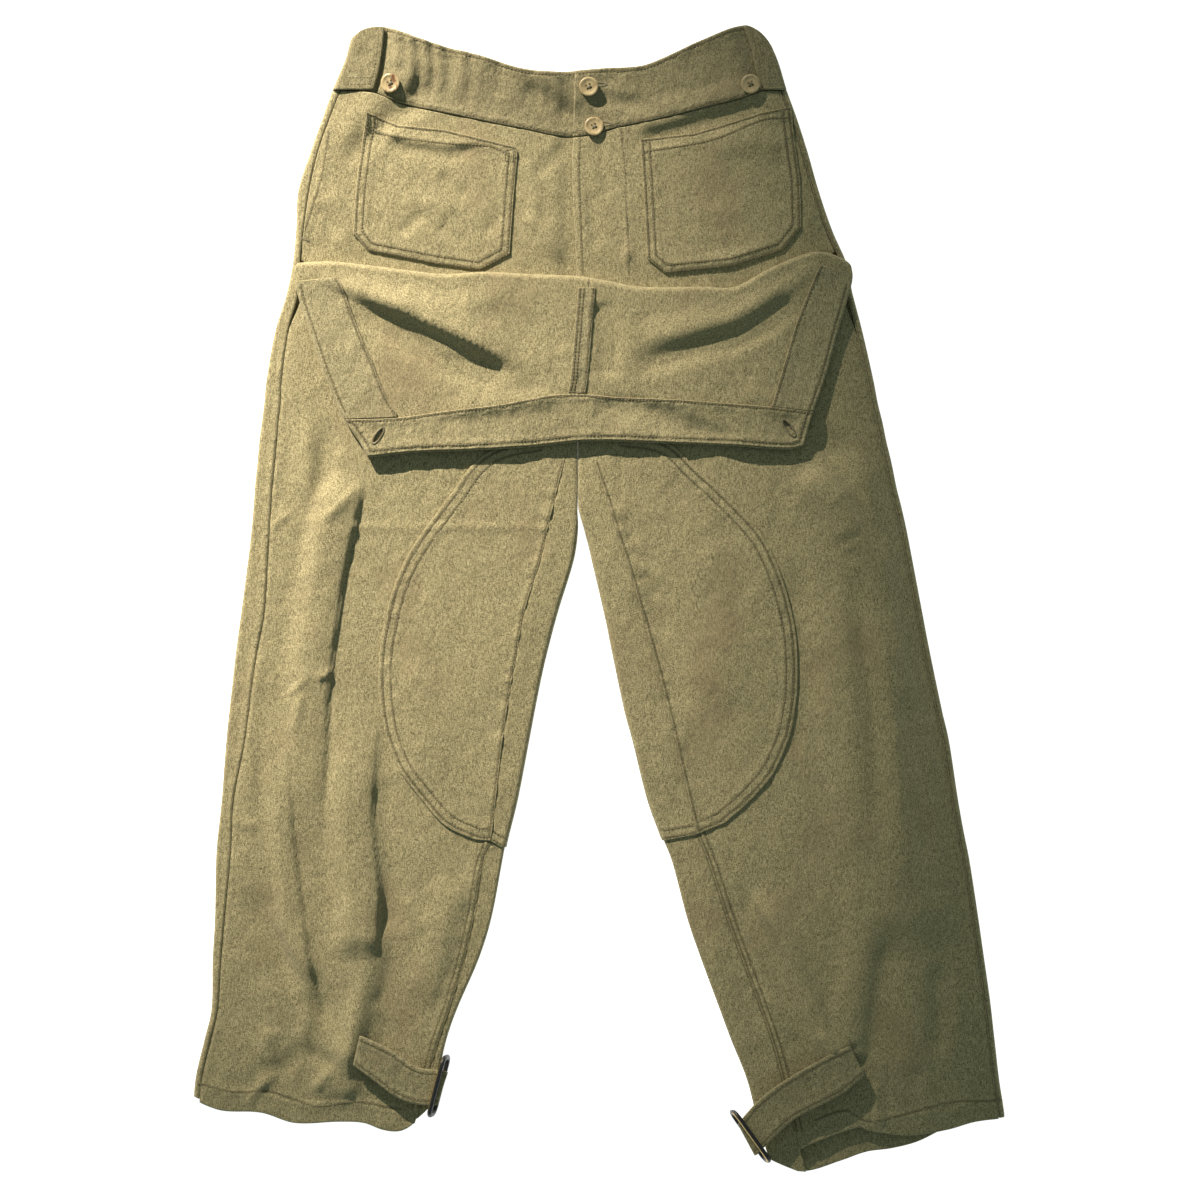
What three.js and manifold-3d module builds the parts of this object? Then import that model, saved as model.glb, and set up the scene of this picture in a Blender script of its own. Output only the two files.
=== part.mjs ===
// Fall-front cotton twill jodhpurs, laid flat on their back with the fall unbuttoned and
// turned down. Millimetres, +Z up, the waist towards +Y, the floor at z = 0.
import * as THREE from 'three';
import { mergeVertices } from 'three/addons/utils/BufferGeometryUtils.js';
import Module from 'manifold-3d';

const wasm = await Module();
wasm.setup();

// ---- Driving dimensions ---------------------------------------------------------------
const CLOTH = 1.6; // wall of the main cloth
const SEAM_GAP = 0.3; // between two pieces that are sewn together
const SIDE_GAP = 0.9; // between bearer and back, where the side opening is
const BAND_GAP = 0.9; // between the back waistband and the backs
const FOLD_INSET = 3.8; // how much narrower a leg's front is where it turns at the fold
const ROLL = 3.2; // outside radius of a side edge, where the cloth turns onto the back
const BAND_ROLL = 4.5; // the same for the thicker waistband
const BAND_CLOTH = 2.4; // wall of the back waistband
const FRONT_BAND_CLOTH = 2.0; // wall of the front waistband
const BAND_LAP = 12; // how far the front band reaches under the ends of the back band
const BAND_PROUD = 0.6; // how far the front band stands above the bearer below it
const PATCH_CLOTH = 1.2; // wall of pockets, knee patches and facings
const EDGE_REACH = 26; // how far in from an edge the panel is back at its full height
const PUFF = 0.8; // how far a flat panel stands above its rolled edges
const FOLD_LIFT = 0.8; // extra height of the leg front at the fold of the fall
const FOLD_ROLL = 4; // outside radius of the fold of the fall
const FALL_LIFT = 3; // how far the free edge of the fall stands up
const FALL_DEPTH = 150; // from the fold down to the free edge
const BEARER_TUCK = 20; // how far the bearer reaches below the fold
const BEARER_DROP = 1.3; // how far it dips to pass under the leg front
const BEARER_INSET = 30; // how much narrower it is down there
const FLY_DROP = 2.4; // how far the under side of the fly lies below the upper one
const UNDERLAP = 12; // x of the hidden edge of the fly
const TAB_DROP = 1.7; // how far the front band dips to pass under the back band's ends
const CROTCH = 147; // y of the crotch
const CENTRE_BACK = -19; // x of the centre back seam
const BACK_SEAM = { middle: 411, side: 445, left: -234, right: 164 }; // its band's seam
const BUTTON_RADIUS = 8.5;
const BUTTON_HEIGHT = 3.2;
const STRAP_CLOTH = 2.2;
const BUCKLE = { length: 56, height: 24, wire: 4.2, corner: 7 };

const KHAKI = 0xa3966a;
const KHAKI_SHADE = 0x978a60;
const HORN = 0xb39a6c;
const BLACK_BRASS = 0x2a2620;

// ---- Small helpers ----------------------------------------------------------------------
const mix = (a, b, t) => a + (b - a) * t;
const clamp = (t, lo, hi) => Math.min(Math.max(t, lo), hi);
const { smoothstep } = THREE.MathUtils;

/** Makes a table: `columns` names the numbers of each row, and the first one is the key. */
function table(columns, rows) {
  const names = columns.split(' ');
  const sorted = [...rows].sort((a, b) => a[0] - b[0]);
  return { names, rows: sorted };
}

/** Reads `column` of a table at `key`, on a smooth curve through the rows. */
function read({ names, rows }, column, key) {
  const c = names.indexOf(column);
  const last = rows.length - 1;
  if (key <= rows[0][0]) return rows[0][c];
  if (key >= rows[last][0]) return rows[last][c];
  let i = 0;
  while (rows[i + 1][0] < key) i += 1;
  const span = rows[i + 1][0] - rows[i][0];
  const slope = (k) => {
    const a = Math.max(k - 1, 0);
    const b = Math.min(k + 1, last);
    return (rows[b][c] - rows[a][c]) / (rows[b][0] - rows[a][0]);
  };
  const t = (key - rows[i][0]) / span;
  const low = slope(i) * span;
  const high = slope(i + 1) * span;
  const rise = rows[i + 1][c] - rows[i][c];
  return rows[i][c] + t * (low + t * (3 * rise - 2 * low - high + t * (low + high - 2 * rise)));
}

// ---- Outline ----------------------------------------------------------------------------
// Each row is one level of a leg and its hip: the outer edge, the side seam, the inseam
// (above the crotch the centre front seam) and the inner edge.
const LEFT = table('y outer side inseam inner', [
  [503, -205, -196, -15, -19.2],
  [493, -216, -206, -15, -19.2],
  [471, -223, -213, -15, -19.2],
  [445, -234, -227, -15, -19.2],
  [423, -242, -236, -15, -19.2],
  [392, -253, -247, -12, -19.2],
  [357, -264, -255, -10, -19.2],
  [322, -266, -260, -9.2, -19.2],
  [292, -269, -263, -9.2, -19.2],
  [264, -275, -265, -10.5, -19.2],
  [235, -284, -273, -12.2, -19.2],
  [191, -292, -279, -16.2, -19.2],
  [170, -294, -280, -17.6, -19.2],
  [154, -296, -282, -25, -19.2],
  [139, -298, -283, -25.5, -19.2],
  [118, -300, -285, -30.7, -19.2],
  [98, -302, -287, -35.6, -19.2],
  [84, -303, -288, -39, -19.7],
  [34, -308, -291, -51, -24],
  [-12, -314, -294, -65, -38],
  [-50, -319, -301, -72, -48],
  [-77, -322, -305, -77, -54],
  [-124, -327, -311, -84, -63],
  [-176, -331, -321, -90, -73],
  [-213, -335, -323, -95, -82],
  [-229, -336, -324, -101, -85],
  [-281, -337, -329, -110, -95],
  [-316, -339, -332, -118, -106],
  [-360, -340, -335, -131, -125],
  [-386, -346, -341, -140, -134],
  [-421, -354, -349, -150, -142],
  [-455, -356, -351, -160, -151],
  [-475, -356, -351, -166, -157],
]);
const RIGHT = table('y outer side inseam inner', [
  [503, 138, 132, -15, -18.8],
  [493, 146, 140, -15, -18.8],
  [471, 156, 150, -15, -18.8],
  [445, 164, 159, -15, -18.8],
  [423, 172, 167, -15, -18.8],
  [392, 182, 177, -12, -18.8],
  [357, 192, 187, -10, -18.8],
  [322, 204, 199, -8.8, -18.8],
  [292, 217, 212, -8.8, -18.8],
  [270, 221, 216, -9.8, -18.8],
  [235, 230, 225, -11.8, -18.8],
  [191, 240, 235, -15.8, -18.8],
  [170, 244, 239, -17.2, -18.8],
  [154, 248, 243, -13, -18.8],
  [139, 251, 246, -11.5, -18.8],
  [118, 256, 251, -4.4, -18.8],
  [98, 260, 255, 2.4, -18.8],
  [86, 263, 258, 6.5, -18],
  [60, 269, 264, 14, -12.7],
  [34, 274, 269, 23, -5.7],
  [-19, 284, 279, 38.5, 6.6],
  [-45, 289, 284, 46, 11.8],
  [-98, 300, 295, 60, 23],
  [-124, 306, 301, 66, 30],
  [-176, 314, 309, 78, 43],
  [-204, 319, 314, 85, 53],
  [-229, 324, 319, 95, 63],
  [-281, 332, 327, 112, 77],
  [-316, 337, 332, 125, 89],
  [-351, 342, 337, 138, 102],
  [-386, 346, 341, 150.5, 115],
  [-421, 350, 345, 160, 129],
  [-456, 355, 350, 168.6, 138],
  [-490, 355, 350, 177, 148],
  [-510, 355, 350, 182, 154],
]);
const FRONT_HEM_LEFT = table('x y', [
  [-356, -439],
  [-331, -448],
  [-296, -450],
  [-267, -459],
  [-228, -458],
  [-206, -459],
  [-189, -465],
  [-174, -466],
  [-163, -460],
  [-150, -448],
]);
const BACK_HEM_LEFT = table('x y', [
  [-356, -436],
  [-331, -444],
  [-267, -455],
  [-206, -455],
  [-176, -463],
  [-163, -458],
  [-150, -447],
]);
const FRONT_HEM_RIGHT = table('x y', [
  [147, -492],
  [158, -495],
  [171, -485],
  [181, -479],
  [226, -463],
  [236, -466],
  [270, -470],
  [304, -465],
  [329, -458],
  [355, -455],
]);
const BACK_HEM_RIGHT = table('x y', [
  [147, -490],
  [160, -496],
  [180, -502],
  [211, -493],
  [234, -485],
  [256, -482],
  [279, -476],
  [304, -464],
  [329, -457],
  [355, -454],
]);
// The fold that the fall turns down on, its free edge, its two sides and its centre seam.
const FOLD_LINE = table('x y', [
  [-265, 294],
  [-234, 295],
  [-188, 290],
  [-136, 284],
  [-102, 286],
  [-62, 284],
  [-17, 282],
  [7, 278],
  [35, 273],
  [91, 273],
  [119, 273],
  [149, 289],
  [189, 304],
  [206, 301],
  [217, 295],
]);
const FALL_EDGE = table('x y', [
  [-201, 123],
  [-164, 127],
  [-112, 129],
  [-62, 132],
  [-9, 137],
  [66, 135],
  [116, 133],
  [167, 130],
  [179, 134],
]);
const FALL_SIDES = table('y left right centre', [
  [120, -201, 175, -18.5],
  [136, -209, 179, -18],
  [158, -224, 185, -17.5],
  [196, -240, 198, -16],
  [233, -253, 208, -12.5],
  [264, -263, 217, -9.5],
  [282, -266, 221, -9],
  [300, -265, 217, -9],
]);
// The waist: its top edge, and the seam between band and bearers.
const WAIST_TOP = table('x y', [
  [-217, 492],
  [-207, 499],
  [-192, 501],
  [-175, 497],
  [-139, 484],
  [-104, 475],
  [-70, 464],
  [-40, 461],
  [0, 464],
  [35, 466],
  [53, 472],
  [88, 488],
  [126, 502],
  [140, 497],
  [150, 486],
  [158, 468],
]);
const BAND_SEAM = table('x y', [
  [-233, 445],
  [-199, 443],
  [-176, 434],
  [-136, 425],
  [-67, 411],
  [-23, 404],
  [19, 413],
  [59, 421],
  [99, 431],
  [123, 437],
  [144, 444.5],
  [164, 444.5],
]);
const BAND_ENDS = table('y left right', [
  [444, -199, 145],
  [461, -194, 138],
  [480, -191, 134],
  [489, -190, 131],
  [502, -189, 127],
]);
const FLY_EDGE = table('y x', [
  [262, -20],
  [306, -21],
  [373, -24],
  [406, -23],
  [470, -21],
]);

// ---- Folds ------------------------------------------------------------------------------
// Each row is one fold: its path, its height at the two ends of the path, how wide it is to
// the left and to the right of somebody who walks along it, and the shares of its length over
// which it rises and dies away.
const fold = (path, start, end, left, right, rise, fall) => (
  { path, start, end, left, right, rise, fall }
);
const LEFT_FOLDS = [
  fold([[-206, 130], [-217, 86], [-231, 34], [-238, -21], [-241, -71], [-245, -141], [-252, -220]],
    6.8, 4, 11, 50, 0.1, 0.4),
  fold([[-199, 130], [-210, 69], [-225, 7], [-232, -54], [-237, -141], [-241, -211]],
    -2.4, -1.8, 46, 7, 0.1, 0.4),
  fold([[-262, 226], [-246, 174], [-239, 139], [-243, 95], [-252, 51]],
    -3.7, -2.2, 18, 14, 0.1, 0.4),
  fold([[-271, 191], [-259, 156], [-253, 112], [-260, 69]], 3.3, 1.8, 12, 18, 0.1, 0.4),
  fold([[-278, 235], [-274, 213], [-262, 191]], -2.6, -1.8, 12, 12, 0.1, 0.3),
  fold([[-280, -1], [-276, -45], [-271, -106], [-266, -203], [-262, -268]],
    2.9, 2.2, 11, 22, 0.3, 0.3),
  fold([[-204, -89], [-208, -141], [-206, -203], [-201, -264], [-208, -334], [-218, -395], [-224, -448]],
    6.6, 8.8, 20, 44, 0.25, 0.1),
  fold([[-184, -106], [-187, -176], [-183, -246], [-189, -294]], -3.3, -3.3, 34, 9, 0.4, 0.1),
  fold([[-315, -246], [-290, -286], [-271, -325], [-246, -362], [-229, -395]],
    -5.5, -4.4, 22, 18, 0.25, 0.25),
  fold([[-295, -264], [-269, -303], [-246, -338]], 2.8, 2.8, 16, 10, 0.3, 0.3),
  fold([[-288, -374], [-290, -391], [-295, -411]], 2.9, 2.2, 14, 12, 0.2, 0.3),
  fold([[-126, -238], [-140, -308], [-157, -360]], 4.4, 3.3, 22, 26, 0.2, 0.2),
];
const RIGHT_FOLDS = [
  fold([[186, 147], [198, 135], [219, 99], [238, 64], [274, 18]], -6.2, -3.8, 26, 14, 0.05, 0.3),
  fold([[175, 112], [200, 82], [219, 47]], 4.4, 3.8, 26, 20, 0.2, 0.2),
  fold([[202, 16], [212, -54], [219, -141], [224, -246]], 3.8, 3, 22, 30, 0.2, 0.2),
  fold([[218, 32], [231, -36], [242, -106], [247, -220]], -3.2, -2.5, 16, 18, 0.15, 0.25),
  fold([[245, -1], [256, -89], [263, -176], [268, -264]], 5, 3.8, 26, 20, 0.2, 0.2),
  fold([[266, -75], [276, -159], [285, -246]], -3.1, -2.5, 16, 16, 0.2, 0.2),
  fold([[209, 139], [235, 34], [249, -71], [261, -176], [270, -316]], 8.8, 8.8, 66, 70, 0.1, 0.1),
  fold([[53, 51], [88, 34], [105, -36], [97, -106]], 3.1, 2.5, 44, 40, 0.2, 0.2),
  fold([[35, 16], [53, -36], [79, -106]], -2.5, -2.5, 30, 26, 0.2, 0.2),
  fold([[167, 34], [181, -71], [175, -159]], -2.5, -2.5, 22, 18, 0.2, 0.3),
  fold([[132, -255], [162, -316], [189, -378], [206, -404]], 3.8, 6.2, 36, 12, 0.2, 0.05),
  fold([[107, -264], [127, -316], [145, -378]], -2.5, -2.5, 12, 20, 0.3, 0.1),
  fold([[233, -264], [230, -311], [218, -369], [219, -404]], 3.8, 6.2, 22, 24, 0.35, 0.05),
  fold([[273, -264], [279, -351], [273, -421]], 2.8, 3, 24, 22, 0.3, 0.1),
  fold([[298, -316], [298, -404]], -2.5, -2.5, 16, 16, 0.2, 0.2),
  fold([[93, -290], [114, -360], [130, -404]], 5, 3.8, 12, 16, 0.2, 0.1),
];
const FALL_FOLDS = [
  fold([[-246, 287], [-224, 275], [-168, 251], [-115, 226], [-64, 202]],
    6.2, 8.8, 44, 12, 0.05, 0.1),
  fold([[-217, 256], [-173, 228], [-140, 207], [-108, 198], [-74, 193]],
    -4.2, -3.2, 16, 20, 0.2, 0.15),
  fold([[195, 301], [158, 274], [116, 245], [70, 232], [15, 217]], 5.8, 3, 16, 26, 0.08, 0.25),
  fold([[175, 261], [145, 237], [116, 223], [66, 210], [22, 198]], -4.2, -3.2, 14, 22, 0.1, 0.2),
  fold([[-8, 170], [35, 167], [88, 146], [123, 134]], -3.2, -2.8, 14, 20, 0.15, 0.2),
  fold([[0, 261], [9, 226], [6, 191]], -3.1, -2.5, 18, 16, 0.1, 0.1),
];
const HIP_FOLDS = [
  fold([[-143, 469], [-164, 434], [-190, 417], [-229, 373]], -4.2, -3.5, 20, 14, 0.15, 0.2),
  fold([[-154, 480], [-175, 443], [-201, 426], [-243, 384]], 2.9, 2.6, 13, 26, 0.15, 0.2),
  fold([[-164, 489], [-163, 458], [-170, 436]], 3.1, 2, 5, 9, 0, 0.3),
  fold([[-151, 487], [-150, 458], [-152, 440]], 3.1, 2, 5, 9, 0, 0.3),
  fold([[-139, 485], [-138, 455], [-141, 438]], 2.9, 1.8, 5, 9, 0, 0.3),
  fold([[-118, 478], [-120, 452], [-127, 433]], 2.6, 1.7, 6, 11, 0, 0.3),
  fold([[-176, 492], [-176, 462]], 2.6, 1.5, 6, 12, 0, 0.3),
  fold([[-66, 450], [-47, 436], [-24, 413]], -2.6, -2.2, 14, 14, 0.2, 0.2),
  fold([[28, 399], [66, 409], [105, 421], [149, 434]], -2.6, -2.2, 12, 16, 0.15, 0.15),
  fold([[-246, 344], [-234, 326], [-224, 314]], -2.6, -2.2, 12, 12, 0.2, 0.2),
  fold([[-236, 362], [-225, 322], [-229, 294]], 2.2, 1.5, 14, 14, 0.2, 0.2),
  fold([[175, 366], [186, 331], [198, 294]], 2.2, 2, 12, 12, 0.2, 0.2),
];

/** Height of one fold at a place: nothing beyond its width. */
function foldHeight({ path, start, end, left, right, rise, fall }, x, y) {
  const lengths = path.slice(1).map((p, i) => Math.hypot(p[0] - path[i][0], p[1] - path[i][1]));
  const total = lengths.reduce((sum, length) => sum + length, 0);
  let nearest = Infinity;
  let side = 1;
  let share = 0;
  let walked = 0;
  lengths.forEach((length, i) => {
    const ax = path[i][0];
    const ay = path[i][1];
    const ux = (path[i + 1][0] - ax) / length;
    const uy = (path[i + 1][1] - ay) / length;
    const along = clamp((x - ax) * ux + (y - ay) * uy, 0, length);
    const away = Math.hypot(x - ax - ux * along, y - ay - uy * along);
    if (away < nearest) {
      nearest = away;
      side = ux * (y - ay) - uy * (x - ax);
      share = (walked + along) / total;
    }
    walked += length;
  });
  const q = nearest / (side > 0 ? left : right);
  if (q >= 1) return 0;
  const risen = rise ? smoothstep(share, 0, rise) : 1;
  const kept = fall ? 1 - smoothstep(share, 1 - fall, 1) : 1;
  return mix(start, end, share) * risen * kept * (1 - q * q) ** 2;
}

const foldsAt = (folds, x, y) => folds.reduce((sum, f) => sum + foldHeight(f, x, y), 0);

// ---- The two legs and their top surfaces --------------------------------------------------
const LEGS = {
  left: {
    name: 'left', out: -1, lines: LEFT, folds: LEFT_FOLDS, hemLevel: -450,
    frontHem: FRONT_HEM_LEFT, backHem: BACK_HEM_LEFT,
  },
  right: {
    name: 'right', out: 1, lines: RIGHT, folds: RIGHT_FOLDS, hemLevel: -470,
    frontHem: FRONT_HEM_RIGHT, backHem: BACK_HEM_RIGHT,
  },
};
const FOLD_LEVEL = 282; // level of the highest row of a leg's front
const LOWEST_TOP = 2 * CLOTH + SEAM_GAP; // a fold stops where the cloth meets the back
const NO_EDGE = 80; // added to the way to the inner edge, where the legs are one
const foldY = (x) => read(FOLD_LINE, 'y', x) - FOLD_ROLL;

/** How far a place lies inside the rolled edges of a leg; the legs are one above the crotch. */
function inset(leg, x, y) {
  const fromOuter = (read(leg.lines, 'outer', y) - x) * leg.out;
  const fromInner = (x - read(leg.lines, 'inner', y)) * leg.out;
  const joined = NO_EDGE * smoothstep(y, CROTCH - 30, CROTCH + 30);
  return Math.min(fromOuter, fromInner + joined) - ROLL;
}

/** Top of a leg's front: level at the rolled edges, fuller in the middle, with its folds. */
function legTop(leg, x, y) {
  const level = 2 * ROLL;
  const open = smoothstep(inset(leg, x, y), 0, EDGE_REACH);
  const nearFold = FOLD_LIFT * smoothstep(y, CROTCH, 250);
  const calm = 1 - smoothstep(y, 130, 165);
  const shape = PUFF + nearFold + calm * foldsAt(leg.folds, x, y);
  return Math.max(level + open * shape, LOWEST_TOP);
}

/** Top of the bearers: it dips to pass under the leg front and under the fly's upper side. */
function bearerTop(leg, x, y) {
  const away = (read(leg.lines, 'outer', y) - x) * leg.out - ROLL;
  const open = smoothstep(away, 0, EDGE_REACH);
  const tucked = BEARER_DROP * (1 - smoothstep(y - foldY(x), 8, 34));
  const under = leg.out < 0 ? FLY_DROP * smoothstep(x, -40, -27) : 0;
  const shape = PUFF + foldsAt(HIP_FOLDS, x, y) * (1 - tucked / BEARER_DROP);
  return Math.max(2 * ROLL + open * shape - tucked - under, LOWEST_TOP);
}

/** Top of the front waistband: it dips, and is flat, under the ends of the back waistband. */
function frontBandTop(leg, x, y) {
  const end = leg.out < 0 ? x - read(BAND_ENDS, 'left', y) : read(BAND_ENDS, 'right', y) - x;
  const under = TAB_DROP * (1 - smoothstep(end, 1, 13));
  const shape = mix(2 * ROLL, bearerTop(leg, x, y), smoothstep(end, 2, 18));
  const lowest = BAND_CLOTH + SEAM_GAP + FRONT_BAND_CLOTH;
  return Math.max(shape + BAND_PROUD - under, lowest);
}

/** Top of the fall as it lies turned down over the legs, with its inside up. */
function fallTop(leg, x, y) {
  const edge = foldY(x);
  const down = clamp((edge - y) / FALL_DEPTH, 0, 1.1);
  const start = legTop(leg, x, edge) - CLOTH + 2 * FOLD_ROLL;
  const lift = FALL_LIFT * down * down * (3 - 2 * Math.min(down, 1));
  return start + lift + smoothstep(down, 0.02, 0.2) * foldsAt(FALL_FOLDS, x, y);
}

/** Lower border of the back waistband: two straight lines on the back, level on the front. */
function backBandSeam(x, z) {
  const end = x < CENTRE_BACK ? BACK_SEAM.left : BACK_SEAM.right;
  const onBack = mix(BACK_SEAM.middle, BACK_SEAM.side, (x - CENTRE_BACK) / (end - CENTRE_BACK));
  return mix(onBack, BACK_SEAM.side, smoothstep(z, 0.5, 5));
}

// ---- Surfaces as functions of two parameters ----------------------------------------------
const ROUNDS = 5; // steps that settle a place between curved borders
const HEM_REACH = 110; // how far above the hem its curve shows in the rows
const TOP_REACH = 90; // the same below the upper border
const BAND_LEVEL = 470; // a level inside the back waistband, where the search for a place starts

/** A place between two side borders (read by y) and two end borders (read by x). */
function between(fromSide, toSide, fromEnd, toEnd, f, v) {
  let x = 0;
  let y = mix(fromEnd(0), toEnd(0), v);
  for (let i = 0; i < ROUNDS; i += 1) {
    x = mix(fromSide(y), toSide(y), f);
    y = mix(fromEnd(x), toEnd(x), v);
  }
  return [x, y];
}

/**
 * The height of a row that is level in the middle of a panel and takes the curve of its
 * lower and upper border near them. `row` runs from the low to the high border's level.
 */
function rowY(row, low, lowLevel, high, highLevel) {
  const nearLow = 1 - smoothstep(row - lowLevel, 0, HEM_REACH);
  const nearHigh = 1 - smoothstep(highLevel - row, 0, TOP_REACH);
  return row + (low - lowLevel) * nearLow + (high - highLevel) * nearHigh;
}

/**
 * A leg's front and its half of the fall, in one piece of cloth, seen from its outside.
 * f runs from the side seam to the inseam. v is the row's level up the leg, then runs
 * round the fold (FOLD_LEVEL to FOLD_LEVEL + 1) and down the fall (to FOLD_LEVEL + 2).
 */
function frontSurface(leg) {
  const gap = (SEAM_GAP / 2) * leg.out;
  const narrow = (y) => FOLD_INSET * leg.out * smoothstep(y, 225, 262);
  const side = (y) => read(leg.lines, 'side', y) - gap - narrow(y);
  const middle = (y) => read(leg.lines, 'inseam', y) + gap;
  const fallSide = (y) => read(FALL_SIDES, leg.name, y);
  const fallMiddle = (y) => read(FALL_SIDES, 'centre', y) + gap;
  const edge = (x) => read(FALL_EDGE, 'y', x);
  const onLeg = (f, row) => {
    let x = 0;
    let y = row;
    for (let i = 0; i < ROUNDS; i += 1) {
      x = mix(side(y), middle(y), f);
      y = rowY(row, read(leg.frontHem, 'y', x), leg.hemLevel, foldY(x), FOLD_LEVEL);
    }
    return new THREE.Vector3(x, y, legTop(leg, x, y));
  };
  const onFall = (f, v) => {
    const [x, y] = between(fallSide, fallMiddle, foldY, edge, f, v);
    return new THREE.Vector3(x, y, fallTop(leg, x, y) - CLOTH);
  };
  return (f, v) => {
    if (v <= FOLD_LEVEL) return onLeg(f, v);
    if (v >= FOLD_LEVEL + 1) return onFall(f, v - FOLD_LEVEL - 1);
    const turn = Math.PI * (v - FOLD_LEVEL);
    const place = onLeg(f, FOLD_LEVEL).lerp(onFall(f, 0), (1 - Math.cos(turn)) / 2);
    place.y += (FOLD_ROLL - CLOTH) * Math.sin(turn);
    return place;
  };
}

/**
 * A point of the cloth that turns round a side edge: d is the distance along the cloth from
 * where it leaves the floor, and `out` says which way the edge faces.
 */
function rolled(edge, out, radius, d, top) {
  if (d <= 0) return [edge - out * (radius - d), 0];
  const turn = d / radius;
  const x = edge - out * radius;
  if (turn < Math.PI) return [x + out * radius * Math.sin(turn), radius * (1 - Math.cos(turn))];
  const on = x - out * (d - Math.PI * radius);
  return [on, top(on)];
}

/** How far along the cloth from the floor a seam on top of a rolled edge lies. */
const toSeam = (edge, seam, radius) => Math.PI * radius + Math.max(Math.abs(edge - seam) - radius, 1);

/**
 * A ring of cloth that lies open side up: u runs from one seam on top (0) to the edge (1),
 * round it (2), along the floor (3), round the other edge (4) and to the other seam (5).
 */
function ringAt(first, second, radius, u) {
  const ends = (side, t) => {
    const flat = Math.min(Math.PI * radius * side.keep, side.seam);
    return t > 1 ? mix(flat, side.seam, t - 1) : flat * t;
  };
  if (u <= 2) return rolled(first.edge, first.out, radius, ends(first, 2 - u), first.top);
  if (u >= 3) return rolled(second.edge, second.out, radius, ends(second, u - 3), second.top);
  const from = first.edge - first.out * radius;
  const to = second.edge - second.out * radius;
  return [mix(from, to, u - 2), 0];
}

/** A leg's ring at one level: round the inner edge, along the floor, round the outer edge. */
function legRing(leg, u, y) {
  const { lines, out } = leg;
  const top = (x) => legTop(leg, x, y);
  const shut = 1 - smoothstep(y, CROTCH - 6, CROTCH + 10);
  const keep = Math.max(shut, 0.08);
  const gap = SEAM_GAP / 2;
  const inner = read(lines, 'inner', y);
  const wrap = toSeam(inner, read(lines, 'inseam', Math.min(y, CROTCH + 7)), ROLL) - gap;
  const turn = Math.min((wrap * keep) / ROLL, Math.PI / 2);
  const apart = CENTRE_BACK + out * gap + (-out) * ROLL * (1 - Math.sin(turn));
  const first = {
    edge: y < CROTCH ? inner : mix(apart, inner, shut),
    out: -out, seam: wrap * keep, keep, top,
  };
  const outer = read(lines, 'outer', y);
  const seam = toSeam(outer, read(lines, 'side', y), ROLL) - gap;
  const second = { edge: outer, out, seam, keep: 1, top };
  return ringAt(first, second, ROLL, u);
}

/** The back of a leg and its hip: v is the row's level, from the hem to the waistband. */
function backSurface(leg) {
  return (u, v) => {
    let y = v;
    let place = [0, 0];
    for (let i = 0; i < ROUNDS; i += 1) {
      place = legRing(leg, u, y);
      const hem = read(leg.backHem, 'y', place[0]);
      const top = backBandSeam(...place) - BAND_GAP;
      y = rowY(v, hem, leg.hemLevel, top, BACK_SEAM.side);
    }
    return new THREE.Vector3(place[0], y, place[1]);
  };
}

/** The back waistband, from one end on the front, round the back, to the other end. */
function backBandSurface(u, v) {
  const flat = () => 2 * BAND_ROLL;
  let y = BAND_LEVEL;
  let place = [0, 0];
  for (let i = 0; i < ROUNDS; i += 1) {
    const ends = [LEGS.left, LEGS.right].map(({ name, out, lines }) => {
      const edge = read(lines, 'outer', y);
      const seam = toSeam(edge, read(BAND_ENDS, name, y), BAND_ROLL);
      return { edge, out, seam, keep: 1, top: flat };
    });
    place = ringAt(ends[0], ends[1], BAND_ROLL, u);
    y = mix(backBandSeam(...place), read(WAIST_TOP, 'y', place[0]) - 1, v);
  }
  return new THREE.Vector3(place[0], y, place[1]);
}

/** A bearer: v runs from its hidden lower edge to the fold (1) and up to the band (2). */
function bearerSurface(leg) {
  const gap = SIDE_GAP * leg.out;
  const low = (x) => foldY(x) - BEARER_TUCK;
  const mid = (x) => foldY(x) + FOLD_ROLL + 2;
  const high = (x) => read(BAND_SEAM, 'y', x) - 2 * SEAM_GAP;
  const fly = (y) => (leg.out < 0 ? UNDERLAP : read(FLY_EDGE, 'x', y));
  return (f, v) => {
    const narrow = BEARER_INSET * leg.out * (1 - smoothstep(v, 0.55, 1));
    const side = (y) => read(leg.lines, 'side', y) - gap - narrow;
    const [x, y] = v < 1
      ? between(side, fly, low, mid, f, v)
      : between(side, fly, mid, high, f, v - 1);
    return new THREE.Vector3(x, y, bearerTop(leg, x, y));
  };
}

/** A half of the front waistband, from under the back band's end to the fly. */
function frontBandSurface(leg) {
  const end = (y) => read(BAND_ENDS, leg.name, y) + leg.out * BAND_LAP;
  const fly = (y) => (leg.out < 0 ? UNDERLAP : read(FLY_EDGE, 'x', y));
  const low = (x) => read(BAND_SEAM, 'y', x);
  const high = (x) => read(WAIST_TOP, 'y', x);
  return (f, v) => {
    const [x, y] = between(end, fly, low, high, f, v);
    return new THREE.Vector3(x, y, frontBandTop(leg, x, y));
  };
}

// ---- Solids -------------------------------------------------------------------------------
const NUDGE = 1e-3; // step of the finite differences

/** Direction square to a surface, to the left of u and v. */
function squareTo(surface, u, v) {
  const du = surface(u + NUDGE, v).sub(surface(u - NUDGE, v));
  const dv = surface(u, v + NUDGE).sub(surface(u, v - NUDGE));
  return du.cross(dv).normalize();
}

/** Volume inside a closed mesh, negative when its faces point in. */
function signedVolume(points, faces) {
  return faces.reduce((sum, [a, b, c]) => {
    const normal = new THREE.Vector3().crossVectors(points[b], points[c]);
    return sum + points[a].dot(normal);
  }, 0);
}

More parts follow.
